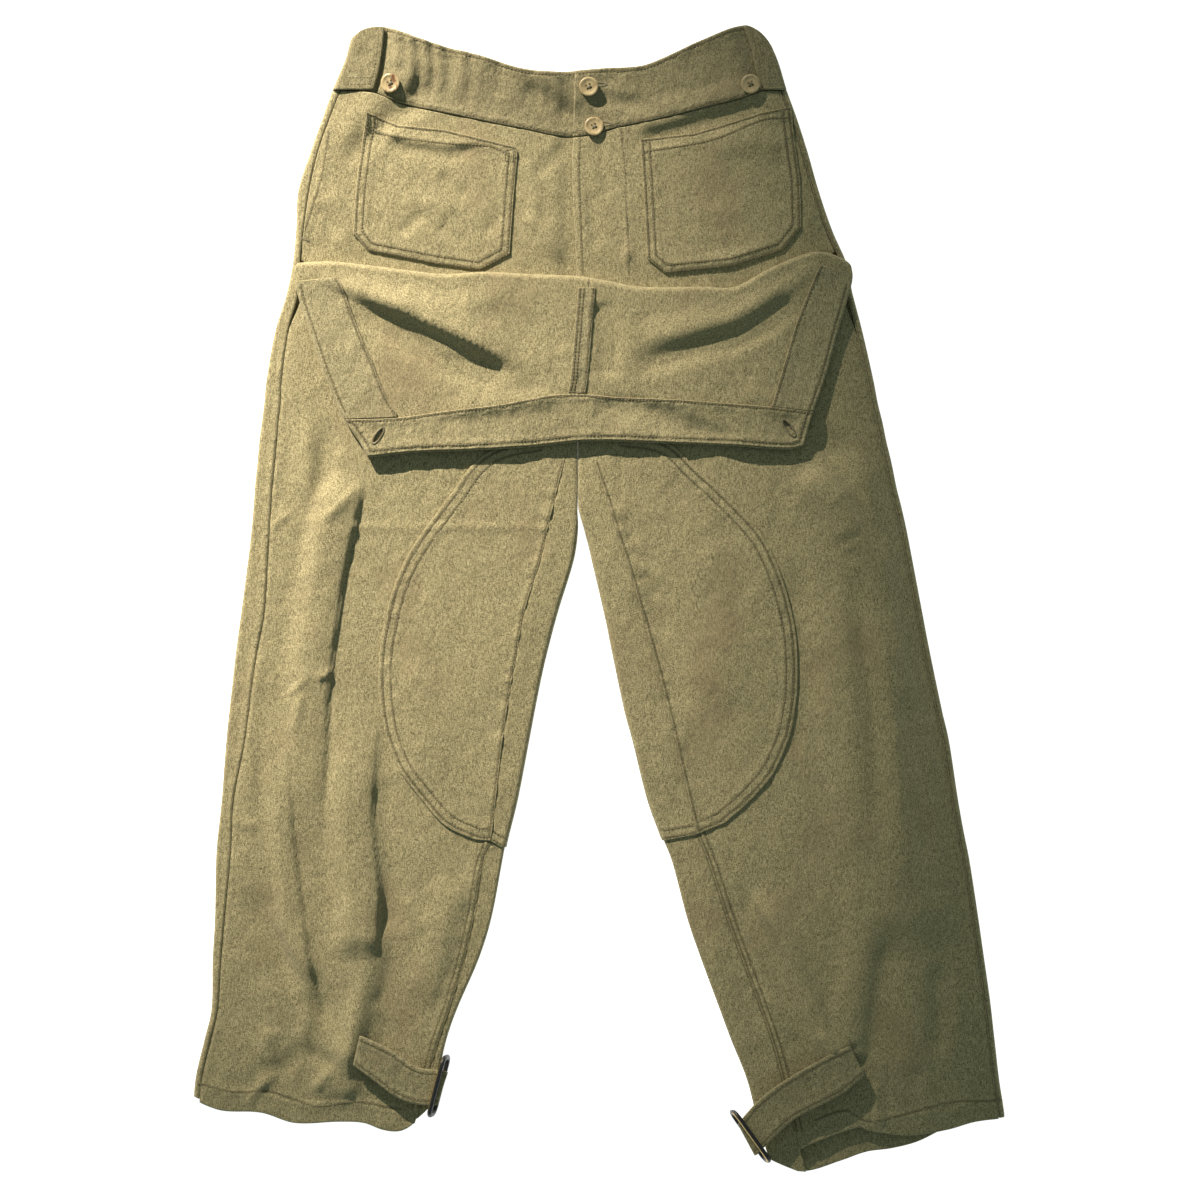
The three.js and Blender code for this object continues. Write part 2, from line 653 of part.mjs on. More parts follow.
/** A closed geometry from points and triangles, with its faces pointing out. */
function closedGeometry(points, faces) {
  const turned = signedVolume(points, faces) < 0 ? faces.map(([a, b, c]) => [a, c, b]) : faces;
  const geometry = new THREE.BufferGeometry().setFromPoints(points);
  geometry.setIndex(turned.flat());
  return geometry;
}

/**
 * A wall of cloth over a grid of a surface, between two distances from it. `facing` is 1
 * where the left of u and v is the outside of the garment, and -1 where it is the inside.
 */
function wall(surface, us, vs, facing, under, over) {
  const wide = us.length;
  const count = wide * vs.length;
  const outer = [];
  const inner = [];
  vs.forEach((v) => us.forEach((u) => {
    const point = surface(u, v);
    const normal = squareTo(surface, u, v).multiplyScalar(facing);
    outer.push(point.clone().addScaledVector(normal, over));
    inner.push(point.clone().addScaledVector(normal, under));
  }));
  const faces = [];
  const quad = (a, b, c, d) => faces.push([a, b, c], [a, c, d]);
  for (let j = 0; j < vs.length - 1; j += 1) {
    for (let i = 0; i < wide - 1; i += 1) {
      const a = j * wide + i;
      quad(a, a + 1, a + wide + 1, a + wide);
      quad(count + a, count + a + wide, count + a + wide + 1, count + a + 1);
    }
  }
  for (let i = 0; i < wide - 1; i += 1) {
    const top = count - wide + i;
    quad(i + 1, i, count + i, count + i + 1);
    quad(top, top + 1, count + top + 1, count + top);
  }
  for (let j = 0; j < vs.length - 1; j += 1) {
    const a = j * wide;
    const b = a + wide - 1;
    quad(a, a + wide, count + a + wide, count + a);
    quad(b + wide, b, count + b, count + b + wide);
  }
  return closedGeometry([...outer, ...inner], faces);
}

/** `steps` even steps from `from` to `to`, both ends included. */
function stations(from, to, steps) {
  return Array.from({ length: steps + 1 }, (_, i) => mix(from, to, i / steps));
}

/** Stations of several stretches, [end, steps] each, that follow one another from `from`. */
function stretches(from, ...rows) {
  const all = [from];
  rows.forEach(([to, steps]) => all.push(...stations(all[all.length - 1], to, steps).slice(1)));
  return all;
}

/** The solid of a closed geometry, ready to be cut. */
function solid(geometry) {
  const bare = geometry.clone();
  bare.deleteAttribute('normal');
  bare.deleteAttribute('uv');
  const merged = mergeVertices(bare, 1e-5);
  return new wasm.Manifold(new wasm.Mesh({
    numProp: 3,
    vertProperties: new Float32Array(merged.attributes.position.array),
    triVerts: new Uint32Array(merged.index.array),
  }));
}

/** The geometry of a cut solid. */
function geometryOf(manifold) {
  const mesh = manifold.getMesh();
  const geometry = new THREE.BufferGeometry();
  geometry.setAttribute('position', new THREE.BufferAttribute(mesh.vertProperties, 3));
  geometry.setIndex(new THREE.BufferAttribute(mesh.triVerts, 1));
  return geometry;
}

/** An upright block over an outline, from a height that defaults to below every layer. */
function block(outline, from = -20) {
  const shape = new THREE.Shape(outline.map(([x, y]) => new THREE.Vector2(x, y)));
  const geometry = new THREE.ExtrudeGeometry(shape, { depth: 80, bevelEnabled: false });
  return solid(geometry.translate(0, 0, from));
}

/** The wall of a sheet: a surface with the stations of its grid and the side it faces. */
const wallOf = ({ surface, us, vs, facing }, under, over) => wall(surface, us, vs, facing, under, over);

/** The part of a sheet whose stations lie between two levels. */
function partOf(sheet, low, high) {
  return { ...sheet, vs: sheet.vs.filter((v) => v >= low && v <= high) };
}

/** A piece sewn onto a sheet: made from the sheet's points, moved out, and cut to an outline. */
function sewnOn(sheet, outline, under, over, slots = []) {
  const cut = slots.reduce((rest, slot) => rest.subtract(block(slot)), solid(wallOf(sheet, under, over)));
  return geometryOf(cut.intersect(block(outline)));
}

// ---- The group ----------------------------------------------------------------------------
const jodhpurs = new THREE.Group();

/** Adds one named piece with a material of its own. */
function piece(name, geometry, color = KHAKI, roughness = 0.95, metalness = 0) {
  const material = new THREE.MeshStandardMaterial({ color, roughness, metalness });
  const mesh = new THREE.Mesh(geometry, material);
  mesh.name = name;
  jodhpurs.add(mesh);
  return mesh;
}

// ---- Leg fronts with the fall -------------------------------------------------------------
const BUTTONHOLE_HALF = 1.2; // half the width of an open buttonhole
const BUTTONHOLES = {
  left: { from: [-198, 135], to: [-188, 149] },
  right: { from: [160, 156], to: [171, 141] },
};

/** Outline of a slot of the given half width between two places. */
function slotOutline({ from, to, half }) {
  const along = new THREE.Vector2(to[0] - from[0], to[1] - from[1]).normalize();
  const sides = [[from, 1], [from, -1], [to, -1], [to, 1]];
  return sides.map(([p, s]) => [p[0] - along.y * half * s, p[1] + along.x * half * s]);
}

// Levels of the rows that a leg's front and back share, so that they meet along their seams.
const ROWS = [
  -420, -388, -356, -322, -288, -255, -230, -212, -180, -145, -110, -75, -40, -5, 30, 62, 95,
  124, 141, 154, 170, 205, 245,
];
const HIP_ROWS = [282, 310, 340, 372, 404, 428, BACK_SEAM.side];
const HALF = { left: 1, right: -1 }; // which way a half's sheets face
const fallRows = stations(FOLD_LEVEL + 1, FOLD_LEVEL + 2, 7);
const fronts = {};
for (const leg of Object.values(LEGS)) {
  const rows = [leg.hemLevel, ...ROWS, ...stations(FOLD_LEVEL, FOLD_LEVEL + 1, 4).slice(0, -1)];
  fronts[leg.name] = {
    surface: frontSurface(leg), us: stations(0, 1, 16), vs: [...rows, ...fallRows],
    facing: HALF[leg.name],
  };
  const sheet = wallOf(fronts[leg.name], -CLOTH, 0);
  const { from, to } = BUTTONHOLES[leg.name];
  const slot = slotOutline({ from, to, half: BUTTONHOLE_HALF - 0.2 });
  const above = 2 * ROLL + 9; // over the leg, under the fall
  piece(`front_${leg.name}`, geometryOf(solid(sheet).subtract(block(slot, above))));
}

// ---- Backs ----------------------------------------------------------------------------------
const backs = {};
for (const leg of Object.values(LEGS)) {
  const us = stretches(0, [1, 2], [2, 4], [3, 4], [4, 4], [5, 1]);
  const vs = [leg.hemLevel, ...ROWS, ...HIP_ROWS];
  backs[leg.name] = { surface: backSurface(leg), us, vs, facing: HALF[leg.name] };
  piece(`back_${leg.name}`, wallOf(backs[leg.name], -CLOTH, 0), KHAKI_SHADE);
}

// ---- Bearers and waistbands -----------------------------------------------------------------
const bearers = {};
for (const leg of Object.values(LEGS)) {
  bearers[leg.name] = {
    surface: bearerSurface(leg), us: stations(0, 1, 13),
    vs: stretches(0, [0.55, 1], [1, 2], [2, 7]), facing: HALF[leg.name],
  };
  piece(`bearer_${leg.name}`, wallOf(bearers[leg.name], -CLOTH, 0));
  const band = wall(frontBandSurface(leg), stations(0, 1, 12), stations(0, 1, 3),
    HALF[leg.name], -FRONT_BAND_CLOTH, 0);
  piece(`waistband_front_${leg.name}`, band);
}
const bandAcross = stretches(0, [1, 2], [2, 5], [3, 14], [4, 5], [5, 2]);
const backBand = wall(backBandSurface, bandAcross, stations(0, 1, 3), -1, -BAND_CLOTH, 0);
piece('waistband_back', backBand, KHAKI_SHADE);

// ---- Pockets --------------------------------------------------------------------------------
const POCKETS = {
  left: [
    [-203, 425], [-176, 414], [-136, 410], [-74, 395], [-72, 390], [-75, 357], [-79, 301],
    [-105, 287], [-141, 292], [-203, 304], [-215, 319], [-213, 356], [-208, 395],
  ],
  right: [
    [36, 402], [83, 407], [116, 417], [141, 425], [167, 430], [170, 402], [175, 366],
    [176, 324], [160, 304], [116, 290], [57, 284], [42, 297], [39, 356],
  ],
};
const OVER = SEAM_GAP + PATCH_CLOTH; // outer face of a piece sewn onto a panel
for (const leg of Object.values(LEGS)) {
  const pocket = sewnOn(bearers[leg.name], POCKETS[leg.name], SEAM_GAP, OVER);
  piece(`pocket_${leg.name}`, pocket);
}

// ---- Pieces on the fall: side facings, band and the felled centre seam ------------------------
const UPPER = -CLOTH - SEAM_GAP; // just above the upturned inside of the fall
const falls = {
  left: partOf(fronts.left, FOLD_LEVEL + 1, FOLD_LEVEL + 2),
  right: partOf(fronts.right, FOLD_LEVEL + 1, FOLD_LEVEL + 2),
};
const FACINGS = {
  left: [
    [-262, 276], [-259, 264], [-250, 233], [-238, 197], [-224, 163], [-176, 160],
    [-185, 175], [-198, 207], [-208, 230], [-223, 270], [-228, 280],
  ],
  right: [
    [216, 284], [215, 270], [205, 233], [194, 196], [183, 166], [151, 166], [162, 203],
    [174, 243], [188, 278], [194, 292],
  ],
};
for (const leg of Object.values(LEGS)) {
  const facing = sewnOn(falls[leg.name], FACINGS[leg.name], UPPER - PATCH_CLOTH, UPPER);
  piece(`fall_facing_${leg.name}`, facing);
}
const FALL_BANDS = {
  left: [
    [-200, 125], [-164, 129], [-112, 131], [-62, 134], [-10, 139], [-10, 178], [-45, 177],
    [-87, 169], [-137, 163], [-177, 157], [-222, 156], [-208, 137],
  ],
  right: [
    [-25, 139], [66, 137], [116, 135], [167, 132], [175, 137], [182, 158], [183, 163],
    [148, 166], [108, 170], [66, 173], [16, 175], [-25, 177],
  ],
};
for (const leg of Object.values(LEGS)) {
  const slot = slotOutline({ ...BUTTONHOLES[leg.name], half: BUTTONHOLE_HALF });
  const band = sewnOn(falls[leg.name], FALL_BANDS[leg.name], UPPER - PATCH_CLOTH, UPPER, [slot]);
  piece(`fall_band_${leg.name}`, band);
}
const FELL_CLOTH = 0.9;
const CENTRE_FELL = [
  [-4, 271], [-7, 235], [-11, 190], [-13, 179], [-27, 179], [-25, 190], [-21, 235], [-18, 271],
];
piece('fall_centre_seam', sewnOn(falls.left, CENTRE_FELL, UPPER - FELL_CLOTH, UPPER));

// ---- Knee patches: the front piece, and the back piece round the inner edge --------------------
const KNEE_PATCHES = {
  left: [
    [-52, 140], [-87, 133], [-109, 119], [-129, 92], [-153, 60], [-168, 37], [-178, 15],
    [-186, -12], [-192, -45], [-193, -79], [-191, -101], [-186, -124], [-175, -150],
    [-157, -174], [-140, -194], [-129, -202], [-108, -211],
  ],
  right: [
    [18, 144], [49, 140], [66, 132], [83, 115], [103, 97], [123, 77], [140, 58], [153, 35],
    [163, 8], [170, -20], [173, -45], [173, -79], [170, -104], [165, -124], [151, -154],
    [130, -178], [108, -197],
  ],
};
const PATCH_SPAN = [-256, 171]; // levels of the leg front that the patch is cut from
const PATCH_LEVELS = [-212, 62]; // of its piece round the inner edge
const PATCH_ROUND = 1.6; // how far round the leg that piece reaches
const BEYOND_EDGE = 30; // how far the cut outline runs past the inner edge
for (const leg of Object.values(LEGS)) {
  const beyond = -leg.out * BEYOND_EDGE;
  const inner = [-213, 0, 140].map((y) => [read(leg.lines, 'inner', y) + beyond, y]);
  const outline = [...KNEE_PATCHES[leg.name], ...inner];
  const front = partOf(fronts[leg.name], ...PATCH_SPAN);
  piece(`knee_patch_${leg.name}`, sewnOn(front, outline, SEAM_GAP, OVER));
  const edge = partOf(backs[leg.name], ...PATCH_LEVELS);
  const round = { ...edge, us: edge.us.filter((u) => u < PATCH_ROUND) };
  piece(`knee_patch_inner_${leg.name}`, wallOf(round, SEAM_GAP, OVER));
}

// ---- Ankle straps and their buckles --------------------------------------------------------------
// Each strap's upper and lower border, from the sewn end to where it passes the buckle, and how
// far it sinks into the folds that it is sewn over.
const STRAPS = {
  left: {
    upper: [[-208, -381], [-183, -393], [-160, -408], [-141, -411], [-133, -412]],
    lower: [[-214, -407], [-195, -421], [-177, -434], [-160, -440], [-142, -441]],
    sink: 1.1,
  },
  right: {
    upper: [[217, -390], [196, -400], [160, -421], [139, -437], [121, -457]],
    lower: [[230, -416], [210, -432], [170, -453], [154, -467], [136, -485]],
    sink: 0.3,
  },
};
const STRAP_END = 17; // underside of the strap where it passes through the buckle

/** A strap as a surface: f runs along it, and w across it. */
function strapSurface(leg) {
  const { upper, lower, sink } = STRAPS[leg.name];
  const sewn = [0, 1].flatMap((i) => [upper[i], lower[i]]).map(([x, y]) => legTop(leg, x, y));
  const start = Math.max(...sewn) - sink;
  const heights = [start, mix(start, STRAP_END, 0.35), STRAP_END - 0.5, STRAP_END, STRAP_END];
  const curve = (points) => new THREE.CatmullRomCurve3(
    points.map(([x, y], i) => new THREE.Vector3(x, y, heights[i])),
  );
  const [top, bottom] = [curve(upper), curve(lower)];
  return (f, w) => top.getPoint(clamp(f, 0, 1)).lerp(bottom.getPoint(clamp(f, 0, 1)), w);
}

/** A round-cornered ring of wire that stands on one long side, centred over the origin. */
function buckleGeometry() {
  const { length, height, wire, corner } = BUCKLE;
  const half = length / 2 - wire / 2;
  const rise = height - wire;
  const path = new THREE.CurvePath();
  const at = (x, z) => new THREE.Vector3(x, 0, z);
  const corners = [[-half, 0], [half, 0], [half, rise], [-half, rise]];
  corners.forEach(([x, z], i) => {
    const [nx, nz] = corners[(i + 1) % 4];
    const [px, pz] = corners[(i + 3) % 4];
    const to = at(nx - x, nz - z).normalize().multiplyScalar(corner);
    const from = at(px - x, pz - z).normalize().multiplyScalar(corner);
    const next = at(nx, nz).sub(to);
    path.add(new THREE.QuadraticBezierCurve3(at(x, z).add(from), at(x, z), at(x, z).add(to)));
    path.add(new THREE.LineCurve3(at(x, z).add(to), next));
  });
  const steps = 24;
  const sides = 6;
  const centre = at(0, rise / 2);
  const points = [];
  const faces = [];
  for (let i = 0; i < steps; i += 1) {
    const spine = path.getPointAt(i / steps);
    const outward = spine.clone().sub(centre).normalize();
    for (let j = 0; j < sides; j += 1) {
      const turn = (2 * Math.PI * j) / sides;
      const reach = outward.clone().multiplyScalar((wire / 2) * Math.cos(turn));
      const across = new THREE.Vector3(0, (wire / 2) * Math.sin(turn), 0);
      points.push(spine.clone().add(reach).add(across));
      const a = i * sides + j;
      const b = i * sides + ((j + 1) % sides);
      const c = ((i + 1) % steps) * sides + ((j + 1) % sides);
      const d = ((i + 1) % steps) * sides + j;
      faces.push([a, b, c], [a, c, d]);
    }
  }
  return closedGeometry(points, faces);
}

const BUCKLE_LEAN = 0.2; // how far a buckle leans away from the leg, in radians
const BUCKLES = {
  left: { foot: [-138.5, -426, 2.4], along: [-13, -50], lean: BUCKLE_LEAN },
  right: { foot: [130, -470.5, 2.4], along: [33, -46], lean: -BUCKLE_LEAN },
};
for (const leg of Object.values(LEGS)) {
  const strap = wall(strapSurface(leg), stations(0, 1, 9), stations(0, 1, 2),
    -HALF[leg.name], 0, STRAP_CLOTH);
  piece(`strap_${leg.name}`, strap, KHAKI_SHADE);
  const { foot, along, lean } = BUCKLES[leg.name];
  const buckle = piece(`buckle_${leg.name}`, buckleGeometry(), BLACK_BRASS, 0.4, 0.8);
  buckle.position.set(...foot);
  buckle.rotation.set(lean, 0, Math.atan2(along[1], along[0]), 'ZYX');
}

// ---- Buttons ----------------------------------------------------------------------------------
/** A four-hole sew-through button with a raised rim, resting on z = 0. */
function buttonGeometry() {
  const r = BUTTON_RADIUS;
  const h = BUTTON_HEIGHT;
  const profile = [
    [0, 0], [r * 0.72, 0], [r, h * 0.45], [r * 0.94, h], [r * 0.74, h], [r * 0.56, h * 0.66],
    [0, h * 0.62],
  ].map(([x, y]) => new THREE.Vector2(x, y));
  const disc = new THREE.LatheGeometry(profile, 16).rotateX(Math.PI / 2);
  let button = solid(disc);
  for (let i = 0; i < 4; i += 1) {
    const turn = (Math.PI / 2) * (i + 0.5);
    const hole = new THREE.CylinderGeometry(0.95, 0.95, 3 * h, 5).rotateX(Math.PI / 2);
    hole.translate(2.2 * Math.cos(turn), 2.2 * Math.sin(turn), 0);
    button = button.subtract(solid(hole));
  }
  return geometryOf(button);
}

const BUTTONS = [
  { name: 'button_fly_upper', leg: LEGS.right, at: [-9.5, 447] },
  { name: 'button_fly_lower', leg: LEGS.right, at: [-4.8, 412.7] },
  { name: 'button_side_left', leg: LEGS.left, at: [-182.8, 450.2] },
  { name: 'button_side_right', leg: LEGS.right, at: [132, 449.3] },
];
for (const { name, leg, at } of BUTTONS) {
  const button = piece(name, buttonGeometry(), HORN, 0.45, 0);
  const reach = [-BUTTON_RADIUS, 0, BUTTON_RADIUS];
  const heights = reach.flatMap((dx) => reach.map((dy) => frontBandTop(leg, at[0] + dx, at[1] + dy)));
  button.position.set(at[0], at[1], Math.max(...heights) + SEAM_GAP);
}

export default jodhpurs;
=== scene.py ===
"""Visual model of fall-front cotton twill jodhpurs, laid flat with the fall turned down.

Every cloth piece is a thin shell over a grid of points, worked out in millimetres from the
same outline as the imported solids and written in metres. Stitches, bar tacks and worked
buttonholes are threads of their own, laid on the cloth they hold.
"""
import logging
import math
from collections.abc import Callable, Iterable
from dataclasses import dataclass, field
from enum import Enum

import bpy
import numpy as np
from mathutils import Matrix, Vector


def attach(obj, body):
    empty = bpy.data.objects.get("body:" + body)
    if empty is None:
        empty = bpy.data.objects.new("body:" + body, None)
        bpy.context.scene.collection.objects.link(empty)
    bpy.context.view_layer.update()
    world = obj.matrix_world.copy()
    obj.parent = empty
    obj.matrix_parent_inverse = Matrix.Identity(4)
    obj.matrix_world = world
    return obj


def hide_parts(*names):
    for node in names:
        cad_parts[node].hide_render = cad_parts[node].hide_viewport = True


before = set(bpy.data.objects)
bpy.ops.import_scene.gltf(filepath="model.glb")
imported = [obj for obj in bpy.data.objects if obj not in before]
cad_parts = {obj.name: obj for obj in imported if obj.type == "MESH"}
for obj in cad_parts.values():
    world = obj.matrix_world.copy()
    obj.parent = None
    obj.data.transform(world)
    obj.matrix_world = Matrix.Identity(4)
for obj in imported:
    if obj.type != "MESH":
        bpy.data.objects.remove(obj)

LOG = logging.getLogger("jodhpurs")
Array = np.ndarray
Colour = tuple[float, float, float]
Place = tuple[float, float]
Height = Callable[[Array, Array], Array]
Object = bpy.types.Object
Material = bpy.types.Material
Socket = bpy.types.NodeSocket
Inputs = dict[str | int, object]
Cells = float | tuple[float, float, float]

MM = 0.001  # metres in a millimetre
TINY = 1e-9  # keeps a division by a length off nought

# ---- Driving sizes of the garment, in millimetres
CLOTH = 1.6  # thickness of the twill
SEAM_GAP = 0.3  # between pieces that meet, or that lie on each other
SIDE_GAP = 0.9
BAND_GAP = 0.9
FOLD_INSET = 3.8  # how far the leg front narrows at the fold
ROLL = 3.2  # radius of the legs' rolled edges
OPEN_UP = 26.0  # width over which the cloth rises inside them
BAND_ROLL = 4.5  # radius of the waistband's rolled sides
BAND_CLOTH = 2.4
FRONT_BAND_CLOTH = 2.0
BAND_PROUD = 0.6
PATCH_CLOTH = 1.2
PUFF = 0.8  # rise of the cloth inside the rolled edges
FOLD_LIFT = 0.8  # further rise of the leg front up to the fold
FOLD_ROLL = 4.0  # radius of the fold
FALL_LIFT = -0.5  # rise of the fall from the fold to its free edge
FALL_DEPTH = 150.0
FALL_INSET = 1.2  # of the facing and the band from the fall's side edge
EDGE_ROW = 1.6  # stitch row beside a turned edge
BEARER_TUCK = 20.0  # how far the bearer reaches under the fold
BEARER_DROP = 1.3  # how far it dips there
BEARER_INSET = 30.0  # and how much it narrows
FLY_DROP = 2.4  # dip of the left bearer under the right one
UNDERLAP = 12.0
TAB_DROP = 1.7  # dip of the front waistband under the back one's ends
CROTCH = 147.0
CENTRE_BACK = -19.0
FOLD_LEVEL = 282.0
BACK_MIDDLE, BACK_SIDE, BACK_LEFT, BACK_RIGHT = 411.0, 445.0, -234.0, 164.0
OVER = SEAM_GAP + PATCH_CLOTH  # outer face of a patch above its panel
LOWEST_TOP = 2 * CLOTH + SEAM_GAP
LOWEST_BAND = BAND_CLOTH + SEAM_GAP + FRONT_BAND_CLOTH


# ---- Small helpers
def mix(low: Array | float, high: Array | float, share: Array | float) -> Array | float:
    """Return the value that lies `share` of the way from `low` to `high`."""
    return low + (high - low) * share


def smoothstep(value: Array | float, low: float, high: float) -> Array | float:
    """Return 0 below `low`, 1 above `high`, and a smooth rise between them."""
    t = np.clip((value - low) / (high - low), 0.0, 1.0)
    return t * t * (3.0 - 2.0 * t)


def places(text: str) -> Array:
    """Read places from a text, with a comma between them."""
    return np.array([[float(v) for v in place.split()] for place in text.split(",")])


class Table:
    """Rows of sizes under named columns, read on a smooth curve through the rows."""

    def __init__(self, columns: str, rows: str | Array) -> None:
        """Sort the rows by their first column, which is the key.

        Args:
            columns: Names of the columns, with a space between them.
            rows: The sizes, one row for each key.
        """
        data = places(rows) if isinstance(rows, str) else rows
        data = data[np.argsort(data[:, 0])]
        self.keys = data[:, 0]
        self.columns = {name: data[:, i] for i, name in enumerate(columns.split())}
        last = len(self.keys) - 1
        before = np.maximum(np.arange(last + 1) - 1, 0)
        after = np.minimum(np.arange(last + 1) + 1, last)
        run = self.keys[after] - self.keys[before]
        self.slopes = {n: (c[after] - c[before]) / run for n, c in self.columns.items()}

    def read(self, column: str, key: Array | float) -> Array:
        """Read one column.

        Args:
            column: The column's name.
            key: Where to read, which may be an array.

        Returns:
            The value at each key, held at the first or last row beyond them.
        """
        values, slopes = self.columns[column], self.slopes[column]
        key = np.clip(key, self.keys[0], self.keys[-1])
        i = np.clip(np.searchsorted(self.keys, key, side="right") - 1, 0, len(self.keys) - 2)
        span = self.keys[i + 1] - self.keys[i]
        t = (key - self.keys[i]) / span
        low, high = slopes[i] * span, slopes[i + 1] * span
        rise = values[i + 1] - values[i]
        bend = 3 * rise - 2 * low - high + t * (low + high - 2 * rise)
        return values[i] + t * (low + t * bend)


def walked(path: Array) -> Array:
    """Return how far along a path each of its corners lies."""
    return np.concatenate([[0.0], np.cumsum(np.linalg.norm(np.diff(path, axis=0), axis=1))])


def along(path: Array, shares: Array) -> Array:
    """Return the points of a path at some shares of its length."""
    far = walked(path)
    return np.stack([np.interp(shares * far[-1], far, column) for column in path.T], -1)


def evenly(path: Array, step: float) -> Array:
    """Return a path's points again, with an even distance of about `step` between them."""
    count = max(int(round(walked(path)[-1] / step)), 1)
    return along(path, np.linspace(0.0, 1.0, count + 1))


def curve_through(corners: Iterable[tuple[float, ...]], step: float = 1.5) -> Array:
    """Return points about `step` apart on a smooth curve through some places."""
    points = np.array(list(corners), dtype=float)
    chords = walked(points)
    names = "xyz"[: points.shape[1]]
    table = Table(" ".join("s" + names), np.column_stack([chords, points]))
    fine = np.linspace(0.0, chords[-1], max(int(chords[-1] / step * 4), 8))
    return evenly(np.stack([table.read(name, fine) for name in names], -1), step)


def nearest(path: Array, x: Array, y: Array) -> tuple[Array, Array, Array]:
    """Find how some places lie beside a path.

    Args:
        path: The path's corners, as rows of x and y.
        x: The places' x.
        y: The places' y.

    Returns:
        The distance to the path, how far along it the nearest point is, and a number that
        is positive on the left of somebody who walks along it.
    """
    best, far, side = np.full(np.shape(x), np.inf), np.zeros(np.shape(x)), np.ones(np.shape(x))
    for start, end, passed in zip(path[:-1], path[1:], walked(path)):
        length = float(np.hypot(*(end - start)))
        ux, uy = (end - start) / max(length, TINY)
        dx, dy = x - start[0], y - start[1]
        on = np.clip(dx * ux + dy * uy, 0.0, length)
        away = np.hypot(dx - ux * on, dy - uy * on)
        closer = away < best
        best = np.where(closer, away, best)
        far = np.where(closer, passed + on, far)
        side = np.where(closer, ux * dy - uy * dx, side)
    return best, far, side


class Ripple:
    """Smooth random waves of one size, the same in every run."""

    CELLS = 256

    def __init__(self, seed: int, size: float, height: float, stretch: float = 1.0) -> None:
        """Draw the random lattice.

        Args:
            seed: Seed of the lattice.
            size: Width of a wave along x, in millimetres.
            height: Height of a wave, in millimetres.
            stretch: How much longer a wave is along y.
        """
        self.lattice = np.random.default_rng(seed).uniform(-1.0, 1.0, (self.CELLS, self.CELLS))
        self.size, self.height, self.stretch = size, height, stretch

    def at(self, x: Array, y: Array) -> Array:
        """Return the height of the waves at each place."""
        u, v = x / self.size, y / (self.size * self.stretch)
        i, j = np.floor(u).astype(int), np.floor(v).astype(int)
        fu, fv = u - i, v - j
        fu, fv = fu * fu * (3 - 2 * fu), fv * fv * (3 - 2 * fv)
        n = self.CELLS
        a, b, c, d = (self.lattice[(i + p) % n, (j + q) % n] for q in (0, 1) for p in (0, 1))
        return self.height * mix(mix(a, b, fu), mix(c, d, fu), fv)


CRUMPLE = (
    Ripple(11, 46.0, 0.85, 1.5),
    Ripple(12, 23.0, 0.42, 1.4),
    Ripple(13, 11.0, 0.16),
)
PUCKER = Ripple(14, 5.5, 0.55)


def crumple(x: Array, y: Array) -> Array:
    """Return the small uneven waves of worn twill."""
    return sum(ripple.at(x, y) for ripple in CRUMPLE)


def turned_edge(away: Array, far: Array, rows: tuple[float, ...], ridge: float = 0.5) -> Array:
    """Relief of a turned and stitched edge.

    Args:
        away: Distance from the edge.
        far: Distance along the edge, for the puckers.
        rows: Distance of each stitch row from the edge.
        ridge: How far the turned cloth stands up.

    Returns:
        The height to add: a ridge up to the last row, a groove at each row, and puckers.
    """
    relief = ridge * (1 - smoothstep(away, rows[-1] - 0.3, rows[-1] + 1.4))
    relief = relief - 0.5 * ridge * (1 - smoothstep(away, 0.0, 1.4))
    for row in rows:
        beside = away - row
        pucker = PUCKER.at(far, np.full_like(far, row)) * np.exp(-((beside / 4.5) ** 2))
        relief = relief - 0.32 * np.exp(-((beside / 0.9) ** 2)) + pucker
    return relief


# ---- The garment's outline
LEFT_LINES = Table("y outer side inseam inner", """
    503 -205 -196 -15 -19.04, 493 -216 -206 -15 -19.04, 471 -223 -213 -15 -19.04, 445 -234 -227 -15 -19.04,
    423 -242 -236 -15 -19.04, 392 -253 -247 -12 -19.04, 357 -264 -255 -10 -19.04, 322 -266 -260 -9.2 -19.04,
    292 -269 -263 -9.2 -19.04, 264 -275 -265 -10.5 -19.04, 235 -284 -273 -12.2 -19.04,
    191 -292 -279 -16.2 -19.04, 170 -294 -280 -17.6 -19.04, 154 -296 -282 -25 -19.04,
    139 -298 -283 -25.5 -19.04, 118 -300 -285 -30.7 -19.04, 98 -302 -287 -35.6 -19.04,
    84 -303 -288 -39 -19.2, 60 -305 -289.5 -44.8 -20.2, 34 -308 -291 -51 -24, -12 -314 -294 -65 -38,
    -50 -319 -301 -72 -48, -77 -322 -305 -77 -54, -124 -327 -311 -84 -63, -176 -331 -321 -90 -73,
    -213 -335 -323 -95 -82, -229 -336 -324 -101 -85, -281 -337 -329 -110 -95, -316 -339 -332 -118 -106,
    -360 -340 -335 -131 -125, -386 -346 -341 -140 -134, -421 -354 -349 -150 -142, -455 -356 -351 -160 -151,
    -475 -356 -351 -166 -157
""")
